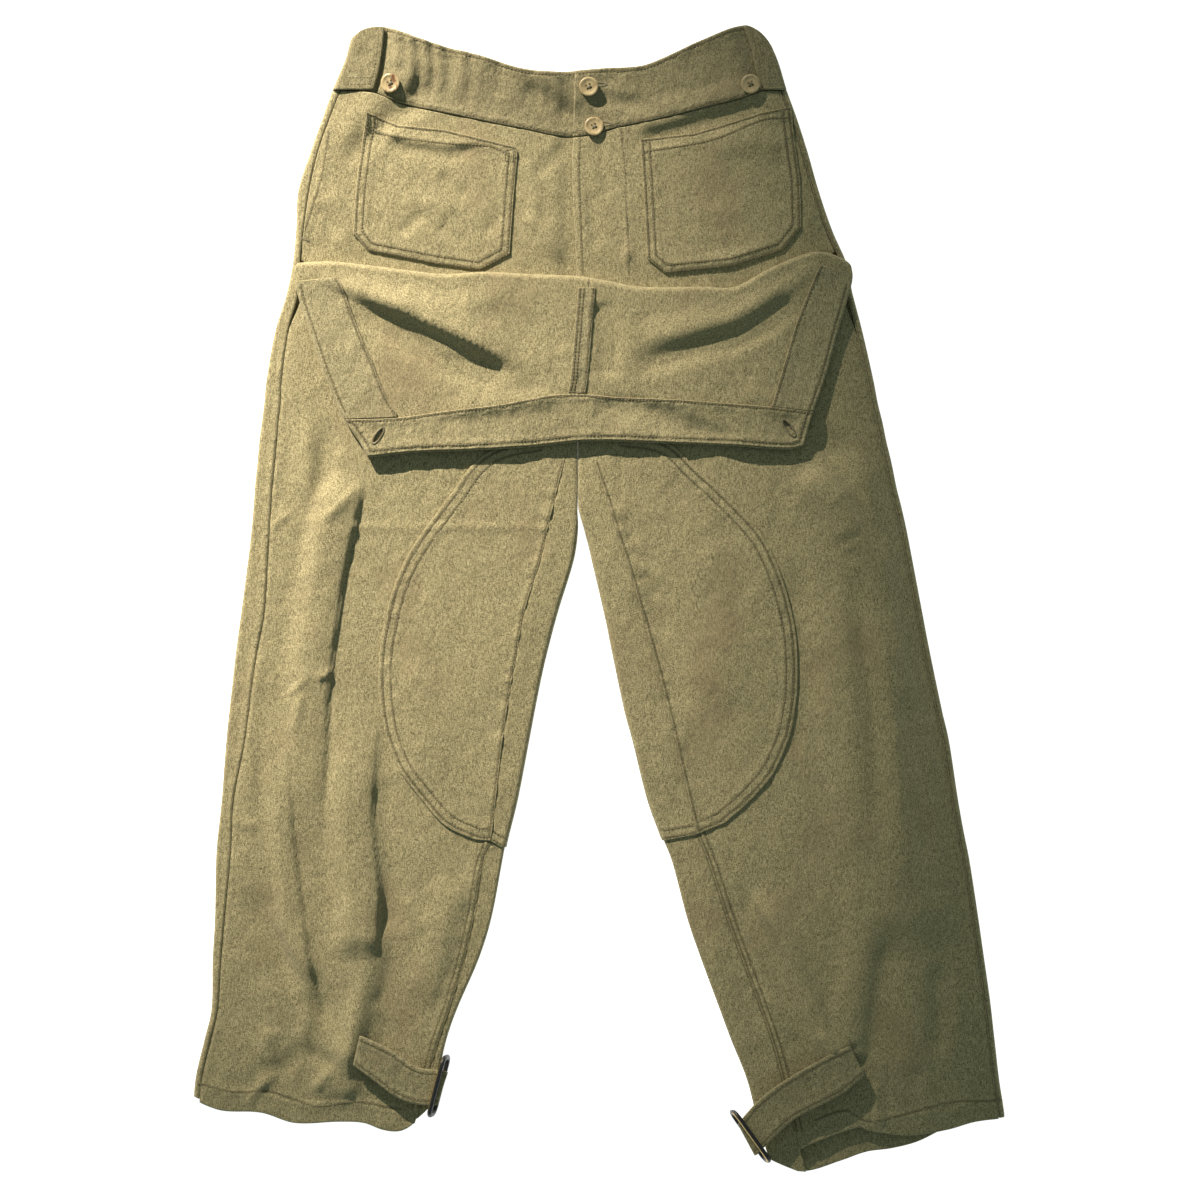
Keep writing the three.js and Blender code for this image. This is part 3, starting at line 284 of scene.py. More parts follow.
RIGHT_LINES = Table("y outer side inseam inner", """
    503 138 132 -15 -18.96, 493 146 140 -15 -18.96, 471 156 150 -15 -18.96, 445 164 159 -15 -18.96,
    423 172 167 -15 -18.96, 392 182 177 -12 -18.96, 357 192 187 -10 -18.96, 322 204 199 -8.8 -18.96,
    292 217 212 -8.8 -18.96, 270 221 216 -9.8 -18.96, 235 230 225 -11.8 -18.96, 191 240 235 -15.8 -18.96,
    170 244 239 -17.2 -18.96, 154 248 243 -13 -18.96, 139 251 246 -11.5 -18.96, 118 256 251 -4.4 -18.96,
    98 260 255 2.4 -18.96, 86 263 258 6.5 -18.9, 78 265 260 9 -18.4, 60 269 264 14 -12, 34 274 269 23 -5.7,
    -19 284 279 38.5 6.6, -45 289 284 46 11.8, -98 300 295 60 23, -124 306 301 66 30, -176 314 309 78 43,
    -204 319 314 85 53, -229 324 319 95 63, -281 332 327 112 77, -316 337 332 125 89, -351 342 337 138 102,
    -386 346 341 150.5 115, -421 350 345 160 129, -456 355 350 168.6 138, -490 355 350 177 148,
    -510 355 350 182 154
""")
LEFT_FRONT_HEM = Table("x y", """
    -356 -439, -331 -448, -296 -450, -267 -459, -228 -458, -206 -459, -189 -465, -174 -466, -163 -460,
    -150 -448
""")
LEFT_BACK_HEM = Table("x y", """
    -356 -436, -331 -444, -267 -455, -206 -455, -176 -463, -163 -458, -150 -447
""")
RIGHT_FRONT_HEM = Table("x y", """
    147 -492, 158 -495, 171 -485, 181 -479, 226 -463, 236 -466, 270 -470, 304 -465, 329 -458, 355 -455
""")
RIGHT_BACK_HEM = Table("x y", """
    147 -490, 160 -496, 180 -502, 211 -493, 234 -485, 256 -482, 279 -476, 304 -464, 329 -457, 355 -454
""")
FOLD_LINE = Table("x y", """
    -265 294, -234 295, -188 290, -136 284, -102 286, -62 284, -17 282, 7 278, 35 273, 91 273, 119 273,
    149 289, 189 304, 206 301, 217 295
""")
FALL_EDGE = Table("x y", """
    -201 123, -164 127, -112 129, -62 132, -9 137, 66 135, 116 133, 167 130, 179 134
""")
FALL_SIDES = Table("y left right centre", """
    120 -201 175 -18.5, 136 -209 179 -18, 158 -224 185 -17.5, 196 -240 198 -16, 233 -253 208 -12.5,
    264 -263 217 -9.5, 282 -266 221 -9, 300 -265 217 -9
""")
WAIST_TOP = Table("x y", """
    -217 492, -207 499, -192 501, -175 497, -139 484, -104 475, -70 464, -40 461, 0 464, 35 466, 53 472,
    88 488, 126 502, 140 497, 150 486, 158 468
""")
BAND_SEAM = Table("x y", """
    -233 445, -199 443, -176 434, -136 425, -67 411, -23 404, 19 413, 59 421, 99 431, 123 437, 144 444.5,
    164 444.5
""")
BAND_ENDS = Table("y left right", """
    444 -199 145, 461 -194 138, 480 -191 134, 489 -190 131, 502 -189 127
""")
FLY_EDGE = Table("y x", "262 -20, 306 -21, 373 -24, 406 -23, 470 -21")


def fold_y(x: Array) -> Array:
    """Return the height on the page where the fall turns down."""
    return FOLD_LINE.read("y", x) - FOLD_ROLL


# ---- Folds and creases
@dataclass(frozen=True)
class Fold:
    """A ridge (or a trough, where its height is negative) along a path.

    `left` and `right` are its widths beside somebody who walks along the path, and `crisp` is
    0 on a soft fold and 1 on a pressed one. `fade_in` and `fade_out` are the shares of its
    length over which it rises and dies away. Where `foot` is given the fold is a bank, which
    rises steeply over that distance to the right of its path, then more and more slowly, and
    has no left side. `lean` moves the crest over to the right.
    """

    path: Array
    start: float
    end: float
    left: float
    right: float
    crisp: float = 0.0
    fade_in: float = 0.0
    fade_out: float = 0.0
    foot: float = 0.0
    lean: float = 0.0

    def _profile(self, x: Array, y: Array) -> tuple[Array, Array]:
        """Return the share of the full height, and how far along the path each place is."""
        away, far, side = nearest(self.path, x, y)
        share = far / walked(self.path)[-1]
        if self.foot:
            reach = 0.5 * self.right
            rise = 0.45 * smoothstep(away, 0.0, self.foot)
            rise = rise + 0.55 * (1 - (1 - np.clip(away / reach, 0.0, 1.0)) ** 2)
            rise = rise * (1 - smoothstep(away, reach, self.right))
            return np.where(side > 0, 0.0, rise), share
        q = np.clip(away / np.where(side > 0, self.left, self.right), 0.0, 1.0)
        return mix((1 - q * q) ** 2, (1 - q) ** 2 * (1 + 0.4 * q), self.crisp), share

    def height(self, x: Array, y: Array) -> Array:
        """Return the fold's height at each place."""
        rise, share = self._profile(x, y)
        if self.fade_in:
            rise = rise * smoothstep(share, 0.0, self.fade_in)
        if self.fade_out:
            rise = rise * (1 - smoothstep(share, 1 - self.fade_out, 1.0))
        return mix(self.start, self.end, share) * rise

    def shift(self, x: Array, y: Array) -> tuple[Array, Array]:
        """Return how far the leaning crest moves each place, along x and y."""
        rise, share = self._profile(x, y)
        (ax, ay), (bx, by) = self.path[0], self.path[-1]
        length = math.hypot(bx - ax, by - ay)
        reach = self.lean * rise**1.5 * smoothstep(share, 0.0, 0.35)
        return reach * (by - ay) / length, -reach * (bx - ax) / length


def folds_at(folds: tuple[Fold, ...], x: Array, y: Array) -> Array:
    """Return the sum of several folds' heights."""
    return sum((fold.height(x, y) for fold in folds), np.zeros(np.shape(x)))


def folds(table: str) -> tuple[Fold, ...]:
    """Read folds from a table: in each row a path, a bar, and the other sizes in their order."""
    made = []
    for row in table.strip().splitlines():
        path, sizes = row.split("|")
        made.append(Fold(places(path), *(float(v) for v in sizes.split())))
    return tuple(made)


LEFT_FOLDS = folds("""
    -203 112, -209 78, -212 63, -218 37, -224 7, -227 -18, -230 -38, -233 -61, -236 -89, -237 -130,\
        -240 -176, -241 -200, -238 -232 | 7.5 4.4 1 48 0 0.1 0.2 3.2
    -262 226, -246 174, -239 139, -243 95, -252 51 | -3.7 -2.2 18 14 0.1 0.1 0.4
    -271 191, -259 156, -253 112, -260 69 | 3.3 1.8 12 18 0.2 0.1 0.4
    -278 235, -274 213, -262 191 | -2.6 -1.8 12 12 0.2 0.1 0.3
    -272 -89, -272 -116, -266 -209, -255 -298, -248 -335, -238 -372, -231 -395 | 3.7 4.8 1 28 0 0.25 0.2 2.8
    -189 -89, -192 -125, -196 -190, -189 -260, -191 -321 | 6.2 7.9 1 50 0 0.35 0.12 5
    -204 -211, -203 -264, -208 -334, -218 -395, -224 -448 | 2.2 7.2 20 40 0.2 0.4 0.1
    -184 -106, -187 -176, -183 -246, -189 -294 | -2 -2 34 9 0.3 0.4 0.1
    -315 -246, -290 -286, -271 -325, -246 -362, -229 -395 | -5.5 -4.4 22 18 0.2 0.25 0.25
    -295 -264, -269 -303, -246 -338 | 2.8 2.8 16 10 0.3 0.3 0.3
    -288 -374, -290 -391, -295 -411 | 2.9 2.2 14 12 0.3 0.2 0.3
    -278 -413, -262 -395, -236 -406 | -2.2 -2.2 12 12 0.2
    -161 -49, -157 -128, -170 -176 | 2.2 2.2 34 34 0 0.2 0.2
    -126 -238, -140 -308, -157 -360 | 4.4 3.3 22 26 0.1 0.2 0.2
    -262 -268, -253 -351, -262 -413 | 2.2 2.2 14 14 0.2 0.2 0.2
""")
LEFT_CREASES = folds("""
    -290 62, -266 78 | 2.1 1.7 7 8 1 0.2 0.4
    -247 64, -229 79, -209 102 | 2 2 7 9 0.8 0.2 0.25
    -249 67, -245 56 | 2.5 1.8 8 8 1
    -248 -71, -232 -62 | 2.1 1.8 6 6 1 0.2 0.2
    -271 -85, -253 -67 | 2.2 1.7 7 7 1 0.2 0.4
    -214 63, -131 62, -45 63 | 1.3 1 5 6 1
    -262 -89, -269 -124 | 2.1 1.4 8 8 0.6 0 0.4
    -318 -196, -304 -199 | 2.1 1.4 7 7 0.6
    -295 -426, -284 -417 | 2.2 1.7 8 8 0.5
    -246 -426, -236 -413 | 2.5 2 8 8 0.5
    -306 -439, -295 -421 | 1.7 1.4 8 8 0.5
    -288 139, -295 69 | 1.7 1.4 14 14 0.2 0.3 0.3
    -301 -36, -306 -124, -311 -203 | 2.2 1.7 14 14 0.2 0.3 0.3
    -194 -360, -199 -386 | 2.2 1.7 10 8 0.4
    -168 -268, -157 -286 | 2 1.7 9 9 0.5
""")
LEFT_PLEAT = folds("""
    -186 -286, -189 -308, -196 -338, -206 -373, -213 -399 | 2.4 7.2 9 26 0.5 0.15 0 0 4.5
""")
RIGHT_FOLDS = folds("""
    88 -268, 107 -334, 127 -395, 138 -428 | 3 3.8 6 9 0.3 0.2 0.1
    119 -244, 148 -295, 175 -343, 193 -385 | -3.8 -4.5 5 14 0.6 0.2 0.05
    186 147, 198 135, 219 99, 238 64, 274 18 | -6.2 -3.8 26 14 0.2 0.05 0.3
    175 112, 200 82, 219 47 | 4.4 3.8 26 20 0.2 0.2 0.2
    202 16, 212 -54, 219 -141, 224 -246 | 3.8 3 22 30 0.1 0.2 0.2
    218 32, 231 -36, 242 -106, 247 -220 | -3.2 -2.5 16 18 0.2 0.15 0.25
    245 -1, 256 -89, 263 -176, 268 -264 | 5 3.8 26 20 0.1 0.2 0.2
    266 -75, 276 -159, 285 -246 | -3.1 -2.5 16 16 0 0.2 0.2
    209 139, 235 34, 249 -71, 261 -176, 270 -316 | 9.8 9.8 66 66 0 0.1 0.1
    53 51, 88 34, 105 -36, 97 -106 | 3.1 2.5 44 40 0 0.2 0.2
    35 16, 53 -36, 79 -106 | -2.5 -2.5 30 26 0 0.2 0.2
    167 34, 181 -71, 175 -159 | -2.5 -2.5 22 18 0.1 0.2 0.3
    132 -255, 162 -316, 189 -378, 206 -404 | 3.8 6.2 36 12 0.3 0.2 0.05
    107 -264, 127 -316, 145 -378 | -2.5 -2.5 12 20 0.2 0.3 0.1
    233 -264, 230 -311, 218 -369, 219 -404 | 3.8 6.2 22 24 0.2 0.35 0.05
    250 -290, 249 -351, 238 -404 | -2 -2 16 16 0.1 0.3 0.1
    273 -264, 279 -351, 273 -421 | 2.8 3 24 22 0.1 0.3 0.1
    298 -316, 298 -404 | -2.5 -2.5 16 16 0 0.2 0.2
    93 -290, 114 -360, 130 -404 | 5 3.8 12 16 0.2 0.2 0.1
""")
RIGHT_CREASES = folds("""
    200 80, 217 97 | 1.8 1.3 6 7 1 0.2 0.4
    209 41, 231 50 | 1.9 1.3 7 6 1 0.2 0.4
    21 76, 32 47 | -1.7 -1.3 12 9 0.3 0.3 0.3
    27 44, 44 28 | -1.4 -1.1 8 11 0.3 0.3 0.3
    35 25, 55 -1 | -1.7 -1.3 11 9 0.3 0.3 0.3
    46 -5, 56 -36 | -1.4 -1.1 12 10 0.2 0.3 0.3
    56 104, 79 79 | -1.1 -0.9 15 13 0.1 0.3 0.3
    88 47, 114 60 | -1.5 -1.1 16 14
    147 98, 172 83 | -1.1 -0.9 15 14 0.1 0.3 0.3
    265 37, 285 21 | 1.1 0.9 9 9 0.5 0.2 0.3
    149 -351, 167 -378 | 2 1.5 10 9 0.3
    186 -417, 193 -430 | 2.2 1.7 9 9 0.4
    241 -430, 245 -456 | 2.9 2 10 9 0.4
    285 -421, 289 -448 | 2 1.5 11 10 0.3
    315 -334, 311 -404 | 1.8 1.5 13 13 0.2 0.2 0.2
""")
RIGHT_PLEAT = folds("""
    125 -255, 151 -295, 178 -353, 196 -400 | 1.8 7.2 26 8 0.5 0.15 0 0 -4.5
""")
FALL_FOLDS = folds("""
    -246 287, -224 275, -168 251, -115 226, -87 212, -56 196 | 7.2 11.2 44 12 0.7 0.06 0.36
    -217 256, -173 228, -140 207, -108 198, -74 193 | -4.2 -3.2 16 20 0.15 0.2 0.15
    -89 245, -77 238, -63 231 | -2.4 -2.4 26 28
    -126 259, -105 268, -83 263 | 1.8 1.2 18 18 0.1 0.2 0.2
    195 301, 158 274, 116 245, 70 232, 15 217 | 5.8 3 16 26 0.35 0.08 0.25
    175 261, 145 237, 116 223, 66 210, 22 198 | -4.2 -3.2 14 22 0.15 0.1 0.2
    -8 170, 35 167, 88 146, 123 134 | -3.2 -2.8 14 20 0.2 0.15 0.2
    0 261, 9 226, 6 191 | -3.1 -2.5 18 16 0.1 0.1 0.1
    -140 165, -70 172, -26 175 | 2 1.8 12 14 0.2 0.2 0.2
""")
FALL_CREASES = folds("""
    -165 294, -166 276, -160 255 | 3.4 1.8 9 9 0.8 0 0.4
    -148 294, -154 274 | -2.1 -1.6 9 9 0.3 0 0.3
    -35 222, -24 198, -29 178 | 2.3 1.6 12 12 0.2 0.2 0.2
    35 261, 79 270, 123 282 | 2.1 1.6 16 14 0.2 0.2 0.2
    88 294, 79 274 | 2.3 1.6 10 10 0.4 0 0.3
    35 289, 46 275, 88 279 | 2.6 1.8 8 10 0.6 0 0.2
    123 182, 149 174, 167 156 | 1.8 1.6 12 14 0.2 0.2 0.2
    -223 222, -208 198, -196 177 | 1.6 1.3 12 12 0.2 0.2 0.2
    -262 235, -246 191 | 1.3 1 10 10 0.2 0.2 0.2
""")
HIP_FOLDS = folds("""
    -143 469, -164 434, -190 417, -229 373 | -3 -2.3 18 18 0 0.2 0.25
    -154 480, -175 443, -201 426, -243 384 | 1.8 1.7 20 28 0 0.2 0.25
    -126 480, -87 468, -35 457, 9 459 | 2.9 2.9 8 42 0 0.2 0.2
    -164 489, -163 458, -170 436 | 3.1 2 5 9 0.4 0 0.3
    -151 487, -150 458, -152 440 | 3.1 2 5 9 0.4 0 0.3
    -139 485, -138 455, -141 438 | 2.9 1.8 5 9 0.4 0 0.3
    -118 478, -120 452, -127 433 | 2.6 1.7 6 11 0.4 0 0.3
    -176 492, -176 462 | 2.6 1.5 6 12 0.4 0 0.3
    -66 450, -47 436, -24 413 | -2.6 -2.2 14 14 0.1 0.2 0.2
    -59 461, -38 448, -15 426 | 1.8 1.4 20 12 0.2 0.2 0.2
    -87 466, -89 436 | -1.3 -1.1 12 12 0.1 0 0.2
    28 399, 66 409, 105 421, 149 434 | -2.6 -2.2 12 16 0.1 0.15 0.15
    28 410, 66 420, 105 433, 149 445 | 2 1.5 18 12 0.2 0.15 0.15
    35 427, 88 438, 140 450 | 1.8 1.3 12 14 0.2 0.2 0.2
    0 436, 35 433 | -1.8 -1.5 10 10 0.1
    -194 410, -166 399, -135 396, -94 401 | 1.3 1.1 12 7 0.4 0.15 0.15
    -188 401, -161 392, -131 388, -103 393 | -1.9 -1.3 8 12 0.3 0.2 0.2
    -140 372, -126 359, -112 347 | -2 -1.5 10 12 0.1 0.2 0.3
    -175 319, -164 328, -150 341 | -1.8 -1.3 9 9 0.2 0.1 0.3
    -140 326, -129 317, -117 308 | -2 -1.5 9 10 0.2 0.1 0.2
    -101 317, -92 328, -82 340 | -1.5 -1.1 9 9 0.2 0.1 0.3
    -65 336, -49 315, -33 293 | 1.8 1.4 10 6 0.5 0.1 0.1
    -56 370, -43 384, -28 399 | -1.7 -1.2 9 10 0.2 0.1 0.3
    -246 344, -234 326, -224 314 | -2.6 -2.2 12 12 0.1 0.2 0.2
    -262 315, -257 294 | 1.8 1.5 8 8 0.3
    -236 362, -225 322, -229 294 | 2.2 1.5 14 14 0.1 0.2 0.2
    -52 270, -42 296, -45 336 | 1.8 1.3 16 16 0.1 0.2 0.2
    88 392, 140 401, 167 392 | 2 1.8 16 16 0.1 0.2 0.2
    175 366, 186 331, 198 294 | 2.2 2 12 12 0.2 0.2 0.2
    44 287, 105 294, 167 314 | 1.5 1.3 12 10 0.2 0.2 0.2
""")
HIP_CREASES = folds("""
    26 304, 20 291, 7 280 | 2.2 1.4 6 8 0.8 0 0.2
    -203 426, -203 410 | 1.7 1.2 5 5 0.6
    -198 425, -197 409 | 1.4 1.2 5 5 0.6
    -193 423, -192 409 | 1.4 1.2 5 5 0.6
    -182 420, -180 406 | 1.2 1 6 6 0.6
    -63 385, -56 349, -61 315 | 1.7 1.4 9 9 0.3 0.1 0.2
    -246 379, -240 340, -246 305 | 1.4 1.2 8 9 0.3 0.1 0.2
    -8 349, -3 314 | -1.2 -1 8 8 0.2
    0 392, 6 357 | -1.1 -1 8 8 0.2
    -175 349, -122 340 | 1.1 1 14 14 0.1 0.2 0.2
    79 340, 132 336 | 1.1 1 14 14 0.1 0.2 0.2
""")


# ---- The two legs and their heights
class Side(Enum):
    """The two halves of the garment, as it lies."""

    LEFT = "left"
    RIGHT = "right"


@dataclass(frozen=True)
class Leg:
    """One leg with its hip: its outline, its folds, and the height of each layer on it."""

    side: Side
    out: int
    lines: Table
    front_hem: Table
    back_hem: Table
    hem_level: float
    folds: tuple[Fold, ...]
    creases: tuple[Fold, ...]
    pleat: tuple[Fold, ...]

    @property
    def name(self) -> str:
        """The half's name."""
        return self.side.value

    def line(self, column: str, y: Array) -> Array:
        """Return one line of the outline."""
        return self.lines.read(column, y)

    def row(self, column: str, levels: Array, inset: float = 0.0) -> Array:
        """Return the places on a line of the outline, or outside it by `inset`."""
        return np.column_stack([self.line(column, levels) + self.out * inset, levels])

    def fall_row(self, levels: Array, inset: float) -> Array:
        """Return the places inside the fall's side edge by `inset`."""
        return np.column_stack([FALL_SIDES.read(self.name, levels) - self.out * inset, levels])

    def fly(self, y: Array) -> Array:
        """Return the edge at the fly."""
        return np.full(np.shape(y), UNDERLAP) if self.out < 0 else FLY_EDGE.read("x", y)

    def levels(self, top: float, pitch: float) -> Array:
        """Return the levels of a panel's rows, which are close together at the hem."""
        near = self.hem_level + np.array(HEM_EDGE)
        count = int((top - near[-1]) / pitch)
        return np.concatenate([near, np.linspace(near[-1], top, count + 1)[1:]])

    def ordered(self, outer: Array, inner: Array) -> tuple[Array, Array]:
        """Return two borders from left to right."""
        return (outer, inner) if self.out < 0 else (inner, outer)

    def inset(self, x: Array, y: Array) -> Array:
        """Return how far a place lies inside the rolled edges."""
        outer = (self.line("outer", y) - x) * self.out
        joined = 80.0 * smoothstep(y, CROTCH - 30.0, CROTCH + 30.0)
        inner = (x - self.line("inner", y)) * self.out + joined
        return np.minimum(outer, inner) - ROLL

    def top(self, x: Array, y: Array) -> Array:
        """Return the top of the leg's front."""
        open_up = smoothstep(self.inset(x, y), 0.0, OPEN_UP)
        near_fold = FOLD_LIFT * smoothstep(y, CROTCH, 250.0)
        calm = 1 - smoothstep(y, 130.0, 165.0)
        folds = folds_at(self.folds, x, y) + folds_at(self.creases, x, y)
        waves = calm * (folds + crumple(x, y) + folds_at(self.pleat, x, y))
        return np.maximum(2 * ROLL + open_up * (PUFF + near_fold + waves), LOWEST_TOP)

    def shift(self, x: Array, y: Array) -> tuple[Array, Array]:
        """Return how far the cuff's pleat leans over, along x and y."""
        moves = [fold.shift(x, y) for fold in self.pleat]
        return sum(m[0] for m in moves), sum(m[1] for m in moves)

    def bearer_top(self, x: Array, y: Array) -> Array:
        """Return the top of the bearer, which dips under the leg front and under the fly."""
        away = (self.line("outer", y) - x) * self.out - ROLL
        open_up = smoothstep(away, 0.0, OPEN_UP)
        tucked = BEARER_DROP * (1 - smoothstep(y - fold_y(x), 8.0, 34.0))
        under = FLY_DROP * smoothstep(x, -40.0, -27.0) if self.out < 0 else 0.0
        shown = 1 - tucked / BEARER_DROP
        folds = folds_at(HIP_FOLDS, x, y) + folds_at(HIP_CREASES, x, y) + 0.5 * crumple(x, y)
        raised = open_up * (PUFF + folds * shown)
        return np.maximum(2 * ROLL + raised - tucked - under, LOWEST_TOP)

    def band_top(self, x: Array, y: Array) -> Array:
        """Return the top of the front waistband, which dips under the back band's ends."""
        end = BAND_ENDS.read(self.name, y)
        away = (end - x) * self.out
        under = TAB_DROP * (1 - smoothstep(away, 1.0, 13.0))
        shape = mix(2 * ROLL, self.bearer_top(x, y), smoothstep(away, 2.0, 18.0))
        return np.maximum(shape + BAND_PROUD - under, LOWEST_BAND)

    def fall_top(self, x: Array, y: Array) -> Array:
        """Return the top of the fall as it lies turned down, with its inside up."""
        edge = fold_y(x)
        down = np.clip((edge - y) / FALL_DEPTH, 0.0, 1.1)
        start = self.top(x, edge) - CLOTH + 2 * FOLD_ROLL
        lift = FALL_LIFT * down * down * (3 - 2 * np.minimum(down, 1.0))
        folds = folds_at(FALL_FOLDS, x, y) + folds_at(FALL_CREASES, x, y) + crumple(x, y + 700.0)
        raised = start + lift + smoothstep(down, 0.02, 0.2) * folds
        return np.maximum(raised, self.top(x, y) + OVER + CLOTH + 2 * SEAM_GAP)


LEGS = (
    Leg(Side.LEFT, -1, LEFT_LINES, LEFT_FRONT_HEM, LEFT_BACK_HEM, -450.0,
        LEFT_FOLDS, LEFT_CREASES, LEFT_PLEAT),
    Leg(Side.RIGHT, 1, RIGHT_LINES, RIGHT_FRONT_HEM, RIGHT_BACK_HEM, -470.0,
        RIGHT_FOLDS, RIGHT_CREASES, RIGHT_PLEAT),
)
LEFT_LEG, RIGHT_LEG = LEGS


def back_band_seam(x: Array, z: Array) -> Array:
    """Return the lower border of the back waistband, which is level on the front."""
    end = np.where(x < CENTRE_BACK, BACK_LEFT, BACK_RIGHT)
    on_back = mix(BACK_MIDDLE, BACK_SIDE, (x - CENTRE_BACK) / (end - CENTRE_BACK))
    return mix(on_back, BACK_SIDE, smoothstep(z, 0.5, 5.0))


# ---- Sheets: grids of points on the cloth
EDGE = (0.8, 1.3, 1.9, 2.6, 3.4, 4.2, 5.0, 6.0, 7.5, 9.5, 12.0, 15.0)
HEM_EDGE = (0.8, 1.6, 3.0, 5.0, 8.0, 11.0, 14.0, 16.5, 18.0, 19.0, 20.0, 21.5, 23.5, 26.0)
PATCH_EDGE = (0.6, 0.9, 1.4, 2.0, 2.7, 3.4, 4.1, 5.0, 6.0, 7.0, 8.2, 9.4, 10.5, 11.6, 13.0, 15.0)
ROUNDS = 5
FAR_FROM_SEAMS = 50.0  # the mark of the points that belong to no grid
SLOW_ROUNDS = 24  # where the waist's top edge is steep
HEM_REACH = 110.0
TOP_REACH = 90.0


@dataclass(frozen=True)
class Stations:
    """Places across a panel: close together near both edges, and even between them."""

    near: tuple[float, ...]
    far: tuple[float, ...]
    between: int

    def across(self, length: Array) -> Array:
        """Return the distance of each place from the first edge, for each length."""
        first, last = self.near[-1], self.far[-1]
        t = np.arange(1, self.between) / self.between
        scale = np.concatenate([np.zeros(len(self.near)), t, np.ones(len(self.far))])
        start = np.concatenate([self.near, first - t * (first + last), -np.array(self.far[::-1])])
        return length * scale + start

    @property
    def count(self) -> int:
        """How many places there are."""
        return len(self.near) + len(self.far) + self.between - 1


def row_y(row: Array, low: Array, low_level: float, high: Array, high_level: float) -> Array:
    """Bend a row that is level in the middle of a panel to the panel's two end borders."""
    near_low = 1 - smoothstep(row - low_level, 0.0, HEM_REACH)
    near_high = 1 - smoothstep(high_level - row, 0.0, TOP_REACH)
    return row + (low - low_level) * near_low + (high - high_level) * near_high


def normals_of(points: Array) -> Array:
    """Return the unit normal at each point of a grid of points."""
    normal = np.cross(np.gradient(points, axis=1), np.gradient(points, axis=0))
    return normal / np.maximum(np.linalg.norm(normal, axis=-1, keepdims=True), TINY)


def facing_of(points: Array) -> int:
    """Return 1 where a grid's own normal points up, and -1 otherwise."""
    return 1 if normals_of(points)[..., 2].mean() > 0 else -1


def round_ring(*counts: int) -> Array:
    """Return places round a ring of cloth, with so many steps in each of its parts."""
    parts = (np.linspace(k, k + 1.0, count + 1)[1:] for k, count in enumerate(counts))
    return np.concatenate([[0.0], *parts])


def tube_faces(rings: Array) -> Array:
    """Return the faces between closed rings, which are rows of vertex numbers."""
    after = np.roll(rings, -1, axis=1)
    return np.stack([rings[:-1], after[:-1], after[1:], rings[1:]], -1).reshape(-1, 4)


def border_of(rows: int, columns: int) -> Array:
    """Return the indices round the border of a grid, once."""
    grid = np.arange(rows * columns).reshape(rows, columns)
    return np.concatenate([grid[0, :-1], grid[:-1, -1], grid[-1, :0:-1], grid[:0:-1, 0]])


def shell(points: Array, facing: int, over: float, under: float) -> tuple[Array, Array]:
    """Make a closed wall of cloth with a round edge from a grid of points.

    Args:
        points: The grid, in rows and columns.
        facing: 1 where the grid's own normal points out of the garment, and -1 otherwise.
        over: Height of the outer face above the grid.
        under: Height of the inner face above the grid.

    Returns:
        The vertices and the faces, which all have four corners.
    """
    rows, columns = points.shape[:2]
    normal = normals_of(points) * facing
    outer = (points + normal * over).reshape(-1, 3)
    inner = (points + normal * under).reshape(-1, 3)
    outward = np.zeros_like(points)
    outward[:, 0] += points[:, 0] - points[:, 1]
    outward[:, -1] += points[:, -1] - points[:, -2]
    outward[0] += points[0] - points[1]
    outward[-1] += points[-1] - points[-2]
    loop = border_of(rows, columns)
    outward = outward.reshape(-1, 3)[loop]
    outward /= np.maximum(np.linalg.norm(outward, axis=-1, keepdims=True), TINY)
    half = (over - under) / 2
    centre = (outer[loop] + inner[loop]) / 2
    up = normal.reshape(-1, 3)[loop]
    count = rows * columns
    turns = np.linspace(0.0, math.pi, 5)[1:-1]
    rims = [centre + half * (math.cos(t) * up + math.sin(t) * outward) for t in turns]
    grid = np.arange(count).reshape(rows, columns)
    quads = np.stack([grid[:-1, :-1], grid[:-1, 1:], grid[1:, 1:], grid[1:, :-1]], -1).reshape(-1, 4)
    rings = [2 * count + k * len(loop) + np.arange(len(loop)) for k in range(len(turns))]
    sides = tube_faces(np.array([loop, *rings, loop + count]))[:, ::-1]
    faces = np.concatenate([quads, quads[:, ::-1] + count, sides])
    return np.concatenate([outer, inner, *rims]), faces if facing > 0 else faces[:, ::-1]


def mesh_object(name: str, vertices: Array, faces: list[list[int]],
                marks: dict[str, Array] | None = None) -> Object:
    """Make a smooth mesh object from millimetres, with its marks as point attributes."""
    mesh = bpy.data.meshes.new(name)
    mesh.from_pydata((vertices * MM).tolist(), [], faces)
    for mark, values in (marks or {}).items():
        attribute = mesh.attributes.new(mark, "FLOAT", "POINT")
        padded = np.full(len(vertices), FAR_FROM_SEAMS)
        padded[: len(values)] = values
        attribute.data.foreach_set("value", padded.astype(np.float32))
    mesh.shade_smooth()
    mesh.validate()
    made = bpy.data.objects.new(name, mesh)
    bpy.context.scene.collection.objects.link(made)
    return made


def drill(made: Object, tool: Object) -> None:
    """Cut a tool's shape out of an object, and take the tool away."""
    cut = made.modifiers.new("hole", "BOOLEAN")
    cut.object, cut.operation, cut.solver = tool, "DIFFERENCE", "EXACT"
    bpy.context.view_layer.objects.active = made
    bpy.ops.object.modifier_apply(modifier=cut.name)
    bpy.data.objects.remove(tool)


def area_of(vertices: Array, faces: Array) -> float:
    """Return half the area of a closed wall, in square metres."""
    corners = vertices[faces] * MM
    first = np.cross(corners[:, 1] - corners[:, 0], corners[:, 2] - corners[:, 0])
    second = np.cross(corners[:, 2] - corners[:, 0], corners[:, 3] - corners[:, 0])
    both = np.linalg.norm(first, axis=-1) + np.linalg.norm(second, axis=-1)
    return float(both.sum()) / 4


